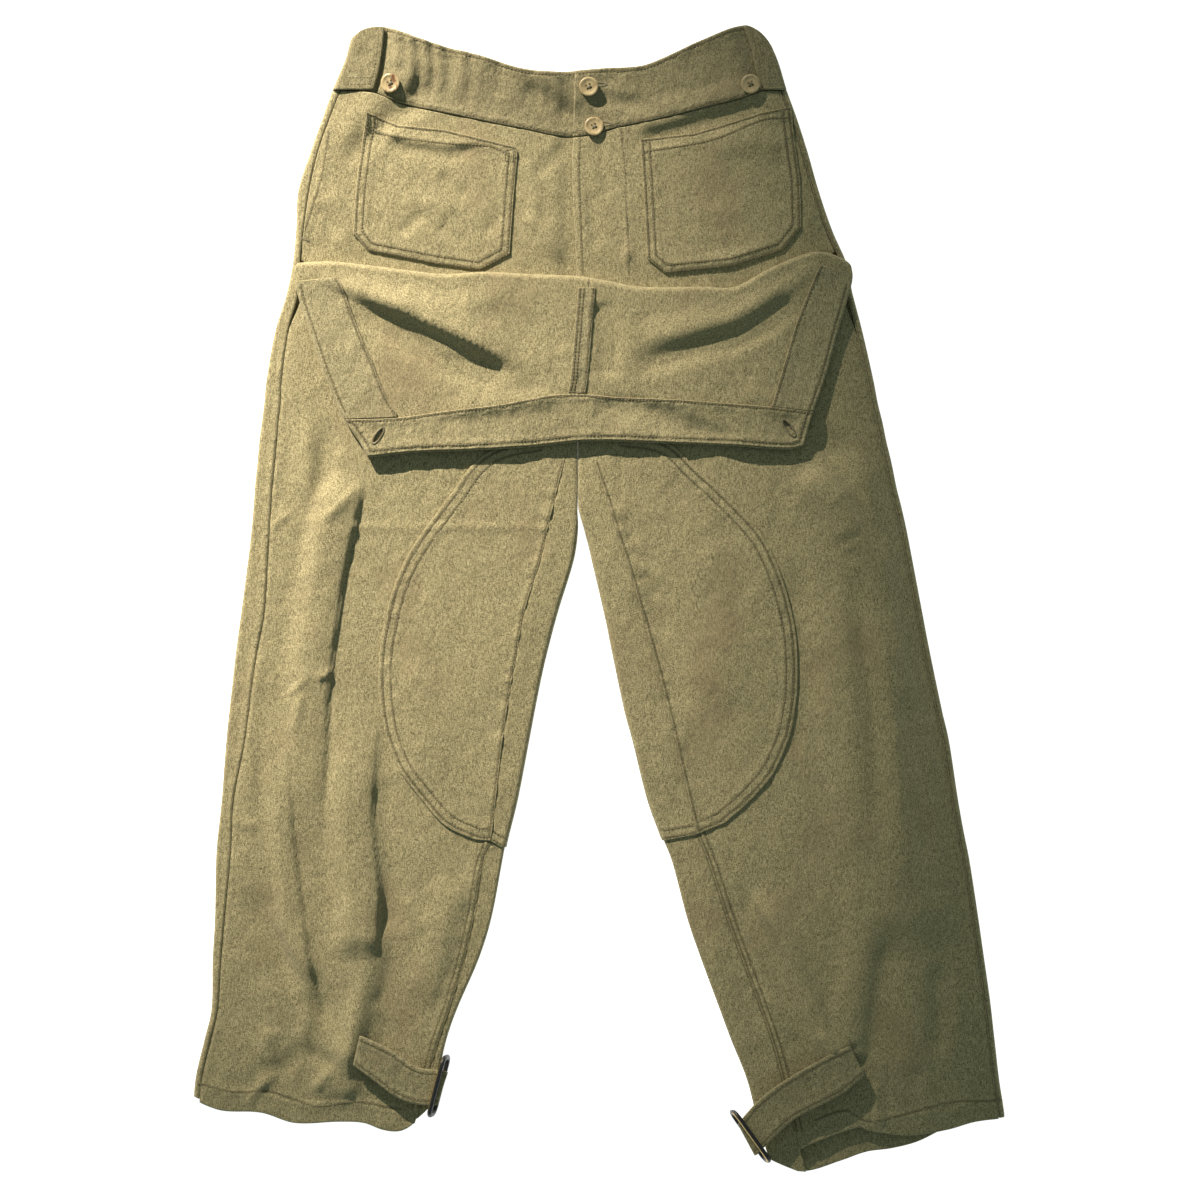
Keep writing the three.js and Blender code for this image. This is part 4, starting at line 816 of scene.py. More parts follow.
@dataclass
class Sheet:
    """A grid of points on a cloth panel, with its stitch rows, seam lines and slits, beside which shade is
    painted into the cloth.
    """

    points: Array
    facing: int
    rows: list[Array] = field(default_factory=list)
    over: float = 0.0
    under: float = -CLOTH

    def groove_shade_distance(self) -> Array:
        """Return each point's distance to the nearest of its lines, capped; the twill paints shade within
        1.7 mm of them.
        """
        x, y = self.points[..., 0], self.points[..., 1]
        away = np.full(x.shape, 20.0)
        for row in self.rows:
            away = np.minimum(away, nearest(row, x, y)[0])
        return np.tile(away.reshape(-1), 2)

    def build(self, name: str) -> Object:
        """Make the sheet's closed mesh."""
        vertices, faces = shell(self.points, self.facing, self.over, self.under)
        LOG.info("%s: %d faces, %.4f square metres", name, len(faces), area_of(vertices, faces))
        return mesh_object(name, vertices, faces.tolist(), {"seam": self.groove_shade_distance()})


def coons(bottom: Array, top: Array, left: Array, right: Array, u: Array, v: Array) -> Array:
    """Fill the space between four borders with an even grid.

    Args:
        bottom: Border from the first to the second corner.
        top: Border from the fourth to the third corner.
        left: Border from the first to the fourth corner.
        right: Border from the second to the third corner.
        u: Shares along the bottom and the top.
        v: Shares along the left and the right.

    Returns:
        The grid's points, as rows along v and columns along u.
    """
    low, high = along(bottom, u)[None], along(top, u)[None]
    start, end = along(left, v)[:, None], along(right, v)[:, None]
    us, vs = u[None, :, None], v[:, None, None]
    corners = mix(mix(low[:, :1], low[:, -1:], us), mix(high[:, :1], high[:, -1:], us), vs)
    return mix(low, high, vs) + mix(start, end, us) - corners


# ---- Thread: stitches, bar tacks and worked buttonholes
def beside(start: Place, end: Place) -> tuple[Array, Array, Array, float]:
    """Return a line's start, its direction, the direction square to it, and its length."""
    begin = np.array(start, dtype=float)
    way = np.array(end, dtype=float) - begin
    length = float(np.hypot(*way))
    way = way / length
    return begin, way, np.array([-way[1], way[0]]), length


@dataclass
class Thread:
    """All the stitches of one piece, as small capsules that dip into the cloth."""

    name: str
    pitch: float = 3.0
    length: float = 2.3
    radius: float = 0.3
    stitches: list[tuple[Array, Array]] = field(default_factory=list)

    RINGS = ((-0.5, 0.0), (-0.34, 0.8), (0.0, 1.0), (0.34, 0.8), (0.5, 0.0))
    SIDES = 5

    def run(self, path: Array, height: Height, lift: float = 0.0, pitch: float | None = None) -> None:
        """Sew a row of stitches along a path.

        Args:
            path: Corners of the row, as x and y.
            height: Gives the cloth's height at a place.
            lift: Height of the stitches above that.
            pitch: Distance from one stitch to the next.
        """
        pitch = pitch or self.pitch
        fine = evenly(np.asarray(path, dtype=float)[:, :2], 0.5)
        whole = walked(fine)[-1]
        starts = np.arange(0.2, whole - self.length * 0.8, pitch)
        ends = np.minimum(starts + self.length * pitch / self.pitch, whole)
        if len(starts):
            self.between(along(fine, starts / whole), along(fine, ends / whole), height, lift)

    def between(self, heads: Array, tails: Array, height: Height, lift: float = 0.0) -> None:
        """Sew one stitch from each head to its tail."""
        low, high = (np.column_stack([ends, height(*ends.T) + lift]) for ends in (heads, tails))
        self.stitches.append((low, high))

    def tack(self, start: Place, end: Place, width: float, height: Height, lift: float = 0.1) -> None:
        """Work a bar tack: close stitches square to the line from `start` to `end`."""
        begin, way, square, length = beside(start, end)
        middles = begin + np.linspace(0.0, length, max(int(length / 0.55), 2))[:, None] * way
        self.between(middles - square * width / 2, middles + square * width / 2, height, lift)

    def buttonhole(self, start: Place, end: Place, half: float, height: Height,
                   lift: float = 0.1) -> None:
        """Work a buttonhole: stitches that stand square to an open slit, all round it.

        Args:
            start: One end of the slit.
            end: Its other end.
            half: Half the width of the slit.
            height: Gives the cloth's height at a place.
            lift: Height of the stitches above that.
        """
        begin, way, square, length = beside(start, end)
        turns = np.linspace(0.0, 2 * math.pi, 70, endpoint=False)[:, None]
        inner, outer = (
            begin + way * (length / 2 + (length / 2 + more) * np.cos(turns))
            + square * (half + more) * np.sin(turns) for more in (-0.2, 1.7)
        )
        self.between(inner, outer, height, lift)

    def build(self) -> Object:
        """Join all the stitches into one mesh object."""
        lows, highs = (np.concatenate(ends) for ends in zip(*self.stitches))
        forward = highs - lows
        length = np.linalg.norm(forward, axis=-1, keepdims=True)
        forward /= np.maximum(length, TINY)
        side = np.cross(forward, [0.0, 0.0, 1.0])
        side /= np.maximum(np.linalg.norm(side, axis=-1, keepdims=True), TINY)
        up = np.cross(side, forward)
        s = self.SIDES
        rings = []
        for place, swell in self.RINGS:
            for turn in 2 * math.pi * np.arange(s if swell else 1) / s:
                off = swell * self.radius * (math.cos(turn) * side + math.sin(turn) * up)
                dip = up * (0.0 if swell else -0.35)
                rings.append((lows + highs) / 2 + forward * length * place + off + dip)
        vertices = np.stack(rings, axis=1)
        grid = 1 + np.arange(3 * s).reshape(3, s)
        first, last = grid[0], grid[-1]
        ends = np.full(s, len(rings) - 1)
        faces = np.concatenate([
            np.stack([0 * first, np.roll(first, -1), first, first], -1),
            tube_faces(grid),
            np.stack([last, np.roll(last, -1), ends, ends], -1),
        ])
        every = faces[None] + (np.arange(len(vertices)) * len(rings))[:, None, None]
        clean = [list(dict.fromkeys(face)) for face in every.reshape(-1, 4).tolist()]
        LOG.info("%s: %d stitches", self.name, len(vertices))
        return mesh_object(self.name, vertices.reshape(-1, 3), clean)


# ---- Finishes
class Nodes:
    """A material's node tree, with short calls to add and join nodes."""

    def __init__(self, name: str) -> None:
        """Start an empty material."""
        self.material = bpy.data.materials.new(name)
        self.material.use_nodes = True
        self.tree = self.material.node_tree
        self.tree.nodes.clear()
        output = self.add("ShaderNodeOutputMaterial")
        self.shader = self.add("ShaderNodeBsdfPrincipled")
        self.give({"Surface": self.shader.outputs[0]}, output)

    def add(self, kind: str, inputs: Inputs | None = None, **values: object) -> bpy.types.Node:
        """Add a node, and set its properties and its inputs."""
        node = self.tree.nodes.new(kind)
        for key, value in values.items():
            setattr(node, key, value)
        self.give(inputs or {}, node)
        return node

    def give(self, inputs: Inputs, node: bpy.types.Node | None = None) -> None:
        """Join or set some inputs of a node, which is the shader where none is named."""
        for key, value in inputs.items():
            socket = (node or self.shader).inputs[key]
            if isinstance(value, Socket):
                self.tree.links.new(value, socket)
            else:
                socket.default_value = (*value, 1.0) if socket.type == "RGBA" else value

    def place(self, cells: Cells, turn: float = 0.0) -> Socket:
        """Return the object's own coordinates, turned about z, in cells of so many millimetres."""
        sizes = cells if isinstance(cells, tuple) else (cells,) * 3
        mapping = self.add("ShaderNodeMapping", {
            "Rotation": (0.0, 0.0, turn), "Scale": tuple(1 / size / MM for size in sizes),
            "Vector": self.add("ShaderNodeTexCoord").outputs["Object"]}, vector_type="POINT")
        return mapping.outputs[0]

    def noise(self, cells: Cells, detail: float = 2.0, rough: float = 0.5,
              turn: float = 0.0) -> Socket:
        """Return a noise with cells of so many millimetres."""
        return self.add("ShaderNodeTexNoise", {
            "Scale": 1.0, "Detail": detail, "Roughness": rough,
            "Vector": self.place(cells, turn)}).outputs["Fac"]

    def ranged(self, source: Socket, low: float, high: float,
               to_low: float = 0.0, to_high: float = 1.0) -> Socket:
        """Map a value from one range to another, held at the ends."""
        return self.add("ShaderNodeMapRange", {
            "Value": source, "From Min": low, "From Max": high, "To Min": to_low,
            "To Max": to_high}, interpolation_type="SMOOTHSTEP").outputs[0]

    def math(self, operation: str, first: Socket, second: Socket | float) -> Socket:
        """Join two values with one operation."""
        return self.add("ShaderNodeMath", {0: first, 1: second}, operation=operation).outputs[0]

    def weighed(self, *parts: tuple[Socket, float]) -> Socket:
        """Return the sum of some values, each with its weight."""
        first, *others = (self.math("MULTIPLY", value, weight) for value, weight in parts)
        for other in others:
            first = self.math("ADD", first, other)
        return first

    def blend(self, share: Socket, first: Socket | Colour, second: Socket | Colour) -> Socket:
        """Blend two colours by a share."""
        return self.add("ShaderNodeMix", {0: share, 6: first, 7: second}, data_type="RGBA",
                        blend_type="MIX").outputs[2]

    def mark(self, name: str) -> Socket:
        """Return the value of a point attribute."""
        return self.add("ShaderNodeAttribute", attribute_name=name).outputs["Fac"]

    def ramp(self, source: Socket, stops: list[tuple[float, Colour]]) -> Socket:
        """Return the colour of a ramp of several stops."""
        node = self.add("ShaderNodeValToRGB", {0: source})
        elements = node.color_ramp.elements
        while len(elements) < len(stops):
            elements.new(0.5)
        for element, (position, colour) in zip(elements, stops):
            element.position = position
            element.color = (*colour, 1.0)
        return node.outputs[0]

    def bump(self, height: Socket, depth: float, under: Socket | None = None) -> Socket:
        """Return a bumped normal; `depth` is the height of a full bump in millimetres."""
        inputs = {"Strength": 1.0, "Distance": depth * MM, "Height": height}
        return self.add("ShaderNodeBump", inputs | ({"Normal": under} if under else {})).outputs[0]

@dataclass(frozen=True)
class TwillFinish:
    """Heathered cotton twill: its tones, how strong its grain is, and how its warp runs."""

    name: str
    dark: Colour = (0.132, 0.110, 0.046)
    middle: Colour = (0.308, 0.259, 0.118)
    light: Colour = (0.485, 0.415, 0.215)
    fleck: Colour = (0.105, 0.068, 0.030)
    stain: Colour = (0.245, 0.178, 0.088)
    warp: float = 0.0

    def material(self) -> Material:
        """Make the cloth's material."""
        n = Nodes(self.name)
        slub = n.noise((0.62, 3.6, 0.62), 2.0, 0.6, self.warp)
        weft = n.noise((2.6, 0.65, 0.65), 2.0, 0.55, self.warp)
        heather = n.noise((0.55, 0.6, 0.55), 1.0, 0.5, self.warp)
        tone = n.weighed((slub, 0.34), (weft, 0.2), (heather, 0.46))
        cloth = n.ramp(tone, [(0.42, self.dark), (0.492, self.middle), (0.575, self.light)])
        flecks = n.noise((1.2, 2.0, 1.2), 1.0, 0.5, self.warp)
        cloth = n.blend(n.ranged(flecks, 0.66, 0.76, 0.0, 0.7), cloth, self.fleck)
        straws = n.noise((1.3, 3.0, 1.3), 1.0, 0.5, self.warp + 0.02)
        cloth = n.blend(n.ranged(straws, 0.66, 0.77, 0.0, 0.4), cloth, self.light)
        wear = n.noise((70.0, 110.0, 70.0), 3.0, 0.6)
        cloth = n.blend(n.ranged(wear, 0.52, 0.72, 0.0, 0.38), cloth, self.stain)
        seam = n.mark("seam")
        # Painted shade: within 1.7 mm of a stitch row, a seam line or a buttonhole slit the cloth darkens
        # towards the dark tone, standing for the shade in their grooves.
        cloth = n.blend(n.ranged(seam, 0.1, 1.7, 0.85, 0.0), cloth, self.dark)
        beside = n.math("MULTIPLY", n.ranged(seam, 1.2, 2.4), n.ranged(seam, 3.0, 6.0, 1.0, 0.0))
        rubbed = n.math("MULTIPLY", beside, n.ranged(heather, 0.42, 0.66, 0.0, 0.5))
        twill = n.add("ShaderNodeTexWave", {
            "Scale": 1.0, "Distortion": 1.2, "Detail": 1.0,
            "Vector": n.place(1 / 0.36, self.warp + math.radians(62.0))},
            wave_type="BANDS", bands_direction="X", wave_profile="SIN")
        ribs = n.math("MULTIPLY", twill.outputs["Fac"], 0.5)
        normal = n.bump(n.math("ADD", ribs, heather), 0.32)
        normal = n.bump(n.noise((16.0, 24.0, 16.0), 3.0, 0.55, self.warp), 2.6, normal)
        sewn = n.math("MULTIPLY", n.noise(3.6, 1.0, 0.5), n.ranged(seam, 1.0, 8.0, 1.0, 0.0))
        n.give({
            "Base Color": n.blend(rubbed, cloth, self.light),
            "Normal": n.bump(sewn, 0.9, normal),
            "Roughness": n.ranged(heather, 0.3, 0.7, 0.84, 0.98),
            "Specular IOR Level": 0.22, "Sheen Weight": 0.16, "Sheen Roughness": 0.5,
        })
        return n.material


@dataclass(frozen=True)
class ThreadFinish:
    """Cotton sewing thread, a little darker than the cloth."""

    name: str
    colour: Colour = (0.17, 0.142, 0.07)
    worn: Colour = (0.30, 0.26, 0.15)

    def material(self) -> Material:
        """Make the thread's material."""
        n = Nodes(self.name)
        fade = n.ranged(n.noise(9.0, 2.0), 0.4, 0.65)
        n.give({"Base Color": n.blend(fade, self.colour, self.worn),
                "Normal": n.bump(n.noise(1 / 2.4, 1.0), 0.08), "Roughness": 0.85})
        return n.material


@dataclass(frozen=True)
class HornFinish:
    """A polished horn or corozo button, with clouds and fine lines of a darker tone."""

    name: str
    pale: Colour = (0.45, 0.35, 0.165)
    dark: Colour = (0.19, 0.125, 0.05)
    cloud: float = 0.4

    def material(self) -> Material:
        """Make the button's material."""
        n = Nodes(self.name)
        clouds = n.noise((4.0, 7.0, 4.0), 4.0, 0.6, 0.5)
        lines = n.noise((0.5, 6.0, 2.0), 2.0, 0.5, 0.5)
        share = n.ranged(n.weighed((clouds, 0.7), (lines, 0.3)), 0.42, 0.68, 0.0, self.cloud * 2)
        n.give({"Base Color": n.blend(share, self.pale, self.dark),
                "Roughness": n.ranged(lines, 0.3, 0.7, 0.24, 0.42),
                "Normal": n.bump(lines, 0.05), "Coat Weight": 0.25})
        return n.material


@dataclass(frozen=True)
class BuckleFinish:
    """Brass under black enamel, which has worn off where the strap and hands rub it."""

    name: str
    enamel: Colour = (0.018, 0.016, 0.013)
    brass: Colour = (0.50, 0.36, 0.16)

    def material(self) -> Material:
        """Make the buckle's material."""
        n = Nodes(self.name)
        chips = n.noise(1.8, 5.0, 0.7)
        worn = n.math("ADD", n.mark("worn"), n.math("MULTIPLY", chips, 0.7))
        share = n.ranged(worn, 0.72, 0.86)
        n.give({"Base Color": n.blend(share, self.enamel, self.brass), "Metallic": share,
                "Roughness": n.ranged(chips, 0.3, 0.7, 0.28, 0.52),
                "Normal": n.bump(chips, 0.12)})
        return n.material


@dataclass
class Wardrobe:
    """The finishes of the garment, made once."""

    twill: Material = field(default_factory=TwillFinish("khaki_twill").material)
    inside: Material = field(default_factory=TwillFinish(
        "twill_wrong_side", middle=(0.296, 0.252, 0.118), light=(0.46, 0.398, 0.212)).material)
    across: Material = field(default_factory=TwillFinish(
        "twill_cut_across", warp=math.pi / 2).material)
    band: Material = field(default_factory=TwillFinish(
        "waistband_twill", middle=(0.25, 0.21, 0.096), light=(0.39, 0.335, 0.174),
        warp=math.pi / 2).material)
    strap: Material = field(default_factory=TwillFinish(
        "strap_twill", middle=(0.272, 0.23, 0.105), warp=1.05).material)
    thread: Material = field(default_factory=ThreadFinish("olive_thread").material)
    horn: Material = field(default_factory=HornFinish("pale_horn").material)
    tortoise: Material = field(default_factory=HornFinish(
        "mottled_horn", dark=(0.16, 0.075, 0.03), cloud=0.75).material)
    metal: Material = field(default_factory=BuckleFinish("worn_black_brass").material)


# ---- Cloth pieces
class Hold(Enum):
    """How a sheet of cloth is held."""

    LAID = "laid"
    FOLDED = "folded"


@dataclass
class Cut:
    """The flat cut of one sheet: its width, length and area, in metres, and how it is held."""

    width: float
    length: float
    area: float
    hold: Hold = Hold.LAID


def dress(made: Object, material: Material, node: str = "") -> None:
    """Give a piece its finish, hang it under the root, and hide the solid it stands for, if any."""
    made.data.materials.append(material)
    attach(made, "root")
    if node:
        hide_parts(node)


@dataclass
class ClothPiece:
    """A cloth piece that stands for one solid, and its own stitches."""

    node: str
    slot: str
    cut: Cut
    rests_on: list[str]
    material: Material
    thread_material: Material
    leg: Leg = LEFT_LEG
    cloth: Object = field(init=False)
    sewing: list[Object] = field(init=False)

    def sheet(self) -> Sheet:
        """Return the piece's grid of points."""
        raise NotImplementedError

    def sew(self, thread: Thread) -> None:
        """Add the piece's stitches; a plain piece has none."""

    def build(self) -> None:
        """Make the cloth and its stitches."""
        self.cloth = self.sheet().build(f"cloth_{self.node}")
        thread = Thread(f"stitches_{self.node}")
        self.sew(thread)
        self.sewing = [thread.build()] if thread.stitches else []

    def dress(self) -> None:
        """Give the cloth and the thread their finish, and hide the solid that the cloth stands for."""
        dress(self.cloth, self.material, self.node)
        for sewing in self.sewing:
            dress(sewing, self.thread_material)


def between(from_x: Height, to_x: Height, from_y: Height, to_y: Height,
            across: Stations, down: Stations, backwards: bool = False) -> tuple[Array, Array]:
    """Fill the space between two side borders and two end borders.

    Args:
        from_x: Gives the first side border at y.
        to_x: Gives the second side border at y.
        from_y: Gives the first end border at x.
        to_y: Gives the second end border at x.
        across: Places from the first side border to the second.
        down: Places from the first end border to the second.
        backwards: Whether y falls from the first end border to the second.

    Returns:
        The x and the y of the grid's points.
    """
    x = np.zeros((down.count, across.count))
    y = x + (from_y(np.zeros(1)) + to_y(np.zeros(1))).item() / 2
    way = -1.0 if backwards else 1.0
    for _ in range(ROUNDS):
        start, end = from_x(y), to_x(y)
        x = start + np.sign(end - start) * across.across(np.abs(end - start))
        low, high = from_y(x), to_y(x)
        y = low + way * down.across(np.abs(high - low).T).T
    return x, y


FALL_ROW = 4.4  # stitch row inside the fall's side edges
HEM_ROW = 19.0  # stitch row above a leg's hem
TURN_STEPS = 9
INSEAM_ROWS = (1.8, 6.4)
SEAM_DROP = 0.8  # how far the front lies below the back at the side seam
SLITS = {"left": ((-197, 136), (-189, 148)), "right": ((160.5, 155), (170, 142))}
SLIT_HALF = 1.9


@dataclass
class LegFront(ClothPiece):
    """A leg's front with its half of the fall, in one piece of cloth."""

    ACROSS = Stations(EDGE, EDGE, 80)
    ROW_PITCH = 2.9
    FALL_DOWN = Stations((1.0, 2.4, 4.2), EDGE, 44)
    HEM = {
        "left": ((-353, -423), (-322, -431), (-290, -431), (-267, -438), (-246, -444),
                 (-214, -440), (-189, -444), (-169, -448)),
        "right": ((353, -439), (304, -441), (263, -452), (234, -457), (215, -448), (188, -456)),
    }

    def _leg_xy(self, rows: Array) -> tuple[Array, Array]:
        """Return the places of the leg's rows, each given by its level."""
        leg, gap = self.leg, SEAM_GAP / 2 * self.leg.out
        y = level = np.repeat(rows[:, None], self.ACROSS.count, axis=1)
        x = np.zeros_like(level)
        for _ in range(ROUNDS):
            narrow = FOLD_INSET * leg.out * smoothstep(y, 225.0, 262.0)
            side = leg.line("side", y) - gap - narrow
            middle = leg.line("inseam", y) + gap
            x = side - leg.out * self.ACROSS.across(np.abs(middle - side))
            y = row_y(level, leg.front_hem.read("y", x), leg.hem_level, fold_y(x), FOLD_LEVEL)
        return x, y

    def hem_relief(self, x: Array, y: Array) -> Array:
        """Return the relief of the turned-up and stitched hem."""
        return turned_edge(y - self.leg.front_hem.read("y", x), x, (HEM_ROW,), 0.7)

    def _leg_grid(self) -> Array:
        """Return the points of the leg's rows."""
        leg = self.leg
        x, y = self._leg_xy(leg.levels(FOLD_LEVEL, self.ROW_PITCH))
        from_side = (leg.line("side", y) - x) * leg.out
        from_inseam = (x - leg.line("inseam", y)) * leg.out
        seams = turned_edge(from_inseam, y, INSEAM_ROWS, 0.5) * (1 - smoothstep(y, 90.0, 120.0))
        seams = seams - SEAM_DROP * (1 - smoothstep(from_side, 0.5, 4.5))
        z = leg.top(x, y) + self.hem_relief(x, y) + seams
        dx, dy = self.leg.shift(x, y)
        return np.stack([x + dx, y + dy, z], -1)

    def _fall_grid(self) -> Array:
        """Return the points of the fall, on the cloth's outside, which faces down."""
        leg, gap = self.leg, SEAM_GAP / 2 * self.leg.out
        x, y = between(
            lambda v: FALL_SIDES.read(leg.name, v),
            lambda v: FALL_SIDES.read("centre", v) + gap,
            fold_y, lambda u: FALL_EDGE.read("y", u),
            self.ACROSS, self.FALL_DOWN, backwards=True,
        )
        away = np.abs(FALL_SIDES.read(leg.name, y) - x)
        relief = turned_edge(away, y, (FALL_ROW,), 0.5) * smoothstep(fold_y(x) - y, 2.0, 20.0)
        return np.stack([x, y, leg.fall_top(x, y) + relief - CLOTH], -1)

    def sheet(self) -> Sheet:
        """Join the leg, the turn of the fold and the fall."""
        leg = self.leg
        lower, upper = self._leg_grid(), self._fall_grid()
        turned = []
        for turn in np.linspace(0.0, math.pi, TURN_STEPS + 1)[1:-1]:
            place = mix(lower[-1], upper[0], (1 - math.cos(turn)) / 2)
            place[:, 1] += (FOLD_ROLL - CLOTH) * math.sin(turn)
            turned.append(place)
        levels = np.linspace(leg.hem_level + 4.0, 118.0, 80)
        # The cloth darkens beside these lines as painted shade: in the side seam, the inseam and its stitch
        # rows and the hem row, and under the buttonhole's slit, where it shows through the hole.
        rows = [leg.row("side", levels), *(leg.row("inseam", levels, row) for row in (0.0, *INSEAM_ROWS)),
                curve_through(self.HEM[leg.name]), np.array(SLITS[leg.name], dtype=float)]
        return Sheet(np.concatenate([lower, np.array(turned), upper]), -leg.out, rows)

    def sew(self, thread: Thread) -> None:
        """Sew the hem, the fall's side edge and the inseam below the knee patch."""
        leg = self.leg
        hem = curve_through(self.HEM[leg.name])
        thread.run(hem, lambda x, y: leg.top(x, y) + self.hem_relief(x, y), 0.05)
        thread.run(leg.fall_row(np.linspace(136.0, 276.0, 60), FALL_ROW), leg.fall_top, 0.15)
        levels = np.linspace(leg.hem_level + HEM_ROW + 4.0, KneePatch.LOWEST[leg.name] - 2.0, 60)
        for row in INSEAM_ROWS:
            thread.run(leg.row("inseam", levels, row), leg.top, 0.1)


@dataclass
class LegBack(ClothPiece):
    """A leg's back with its hip, which rolls round both edges onto the front."""

    ROW_PITCH = 4.2

    def sheet(self) -> Sheet:
        """Return the ring's points from the hem to the waistband."""
        leg, us = self.leg, round_ring(4, 10, 44, 12, 4)
        levels = leg.levels(BACK_SIDE, self.ROW_PITCH)
        u, level = np.meshgrid(us, levels)
        y = level
        x = z = np.zeros_like(y)
        for _ in range(ROUNDS):
            x, z = leg_ring(leg, y, u)
            top = back_band_seam(x, z) - BAND_GAP
            y = row_y(level, leg.back_hem.read("y", x), leg.hem_level, top, BACK_SIDE)
        # The cloth darkens beside the side seam and the inseam as painted shade of their grooves.
        seams = np.linspace(leg.hem_level + 4.0, BACK_SIDE, 90)
        rows = [leg.row(name, seams) for name in ("side", "inseam")]
        return Sheet(np.stack([x, y, z], -1), -leg.out, rows)


@dataclass(frozen=True)
class RingEdge:
    """One rolled edge of a ring: its place, the way it faces, and its length to the seam."""

    edge: Array
    out: int
    seam: Array
    keep: Array

    def length(self, share: Array, radius: float) -> Array:
        """Return the distance along the cloth at a share: 1 at the turn's end, 2 at the seam."""
        flat = np.minimum(math.pi * radius * self.keep, self.seam)
        return np.where(share > 1.0, mix(flat, self.seam, share - 1.0), flat * share)

    def rolled(self, distance: Array, radius: float, top: Callable[[Array], Array]) -> tuple[Array, Array]:
        """Return x and z of the cloth that turns round this edge."""
        turn = np.clip(distance / radius, 0.0, math.pi)
        x = self.edge - self.out * radius
        round_x = x + self.out * radius * np.sin(turn)
        round_z = radius * (1 - np.cos(turn))
        on = x - self.out * (distance - math.pi * radius)
        over = distance >= math.pi * radius
        return np.where(over, on, round_x), np.where(over, top(on), round_z)


def to_seam(edge: Array, seam: Array, radius: float) -> Array:
    """Return how far along the cloth from the floor a seam on top of a rolled edge lies."""
    return math.pi * radius + np.maximum(np.abs(edge - seam) - radius, 1.0)


def ring_at(first: RingEdge, second: RingEdge, radius: float, u: Array,
            top: Callable[[Array], Array]) -> tuple[Array, Array]:
    """Return x and z on a ring of cloth: seam, edge, floor, other edge, other seam."""
    x1, z1 = first.rolled(first.length(2.0 - u, radius), radius, top)
    x2, z2 = second.rolled(second.length(u - 3.0, radius), radius, top)
    start = first.edge - first.out * radius
    end = second.edge - second.out * radius
    floor_x = mix(start, end, u - 2.0)
    x = np.where(u <= 2.0, x1, np.where(u >= 3.0, x2, floor_x))
    z = np.where(u <= 2.0, z1, np.where(u >= 3.0, z2, 0.0))
    return x, z


def leg_ring(leg: Leg, y: Array, u: Array) -> tuple[Array, Array]:
    """Return x and z on a leg's ring, which lies open side up."""
    gap = SEAM_GAP / 2
    shut = 1 - smoothstep(y, CROTCH - 6.0, CROTCH + 10.0)
    keep = np.maximum(shut, 0.08)
    inner, outer = leg.line("inner", y), leg.line("outer", y)
    wrap = to_seam(inner, leg.line("inseam", np.minimum(y, CROTCH + 7.0)), ROLL) - gap
    turn = np.minimum(wrap * keep / ROLL, math.pi / 2)
    apart = CENTRE_BACK + leg.out * (gap - ROLL * (1 - np.sin(turn)))
    edge = np.where(y < CROTCH, inner, mix(apart, inner, shut))
    seam = to_seam(outer, leg.line("side", y), ROLL) - gap
    first = RingEdge(edge, -leg.out, wrap * keep, keep)
    second = RingEdge(outer, leg.out, seam, np.ones_like(y))
    return ring_at(first, second, ROLL, u, lambda x: leg.top(x, y))


def level_at(height: float) -> Height:
    """Return a level surface at a height."""
    return lambda x, *_: np.full(np.shape(x), height)


@dataclass
class BackBand(ClothPiece):
    """The back waistband, which comes round both sides onto the front."""

    UP = Stations(EDGE, EDGE, 14)
    ROW_IN = 3.5
    FLAT = staticmethod(level_at(2 * BAND_ROLL))

    def sheet(self) -> Sheet:
        """Return the band's points, from its end on the left to its end on the right."""
        u = np.repeat(round_ring(10, 12, 90, 12, 10)[None], self.UP.count, axis=0)
        y = np.full(u.shape, 470.0)
        x = z = np.zeros_like(u)
        for _ in range(SLOW_ROUNDS):
            ends = []
            for leg in LEGS:
                edge = leg.line("outer", y)
                seam = to_seam(edge, BAND_ENDS.read(leg.name, y), BAND_ROLL)
                ends.append(RingEdge(edge, leg.out, seam, np.ones_like(y)))
            x, z = ring_at(*ends, BAND_ROLL, u, self.FLAT)
            low, high = back_band_seam(x, z), WAIST_TOP.read("y", np.minimum(x, 150.0)) - 1.0
            y = (y + low + self.UP.across((high - low).T).T) / 2
        return Sheet(np.stack([x, y, z], -1), -1, under=-BAND_CLOTH)

    def sew(self, thread: Thread) -> None:
        """Sew the ends that lie on the front."""
        for leg in LEGS:
            levels = np.linspace(449.0, 494.0, 30)
            end = BAND_ENDS.read(leg.name, levels) + leg.out * self.ROW_IN
            thread.run(np.column_stack([end, levels]), self.FLAT, 0.1)
            for row in (450.0, 455.5):
                start = BAND_ENDS.read(leg.name, row).item() + leg.out * self.ROW_IN
                finish = leg.line("outer", np.array(row)).item() - leg.out * 6.0
                thread.run(np.array([[start, row], [finish, row]]), self.FLAT, 0.1)


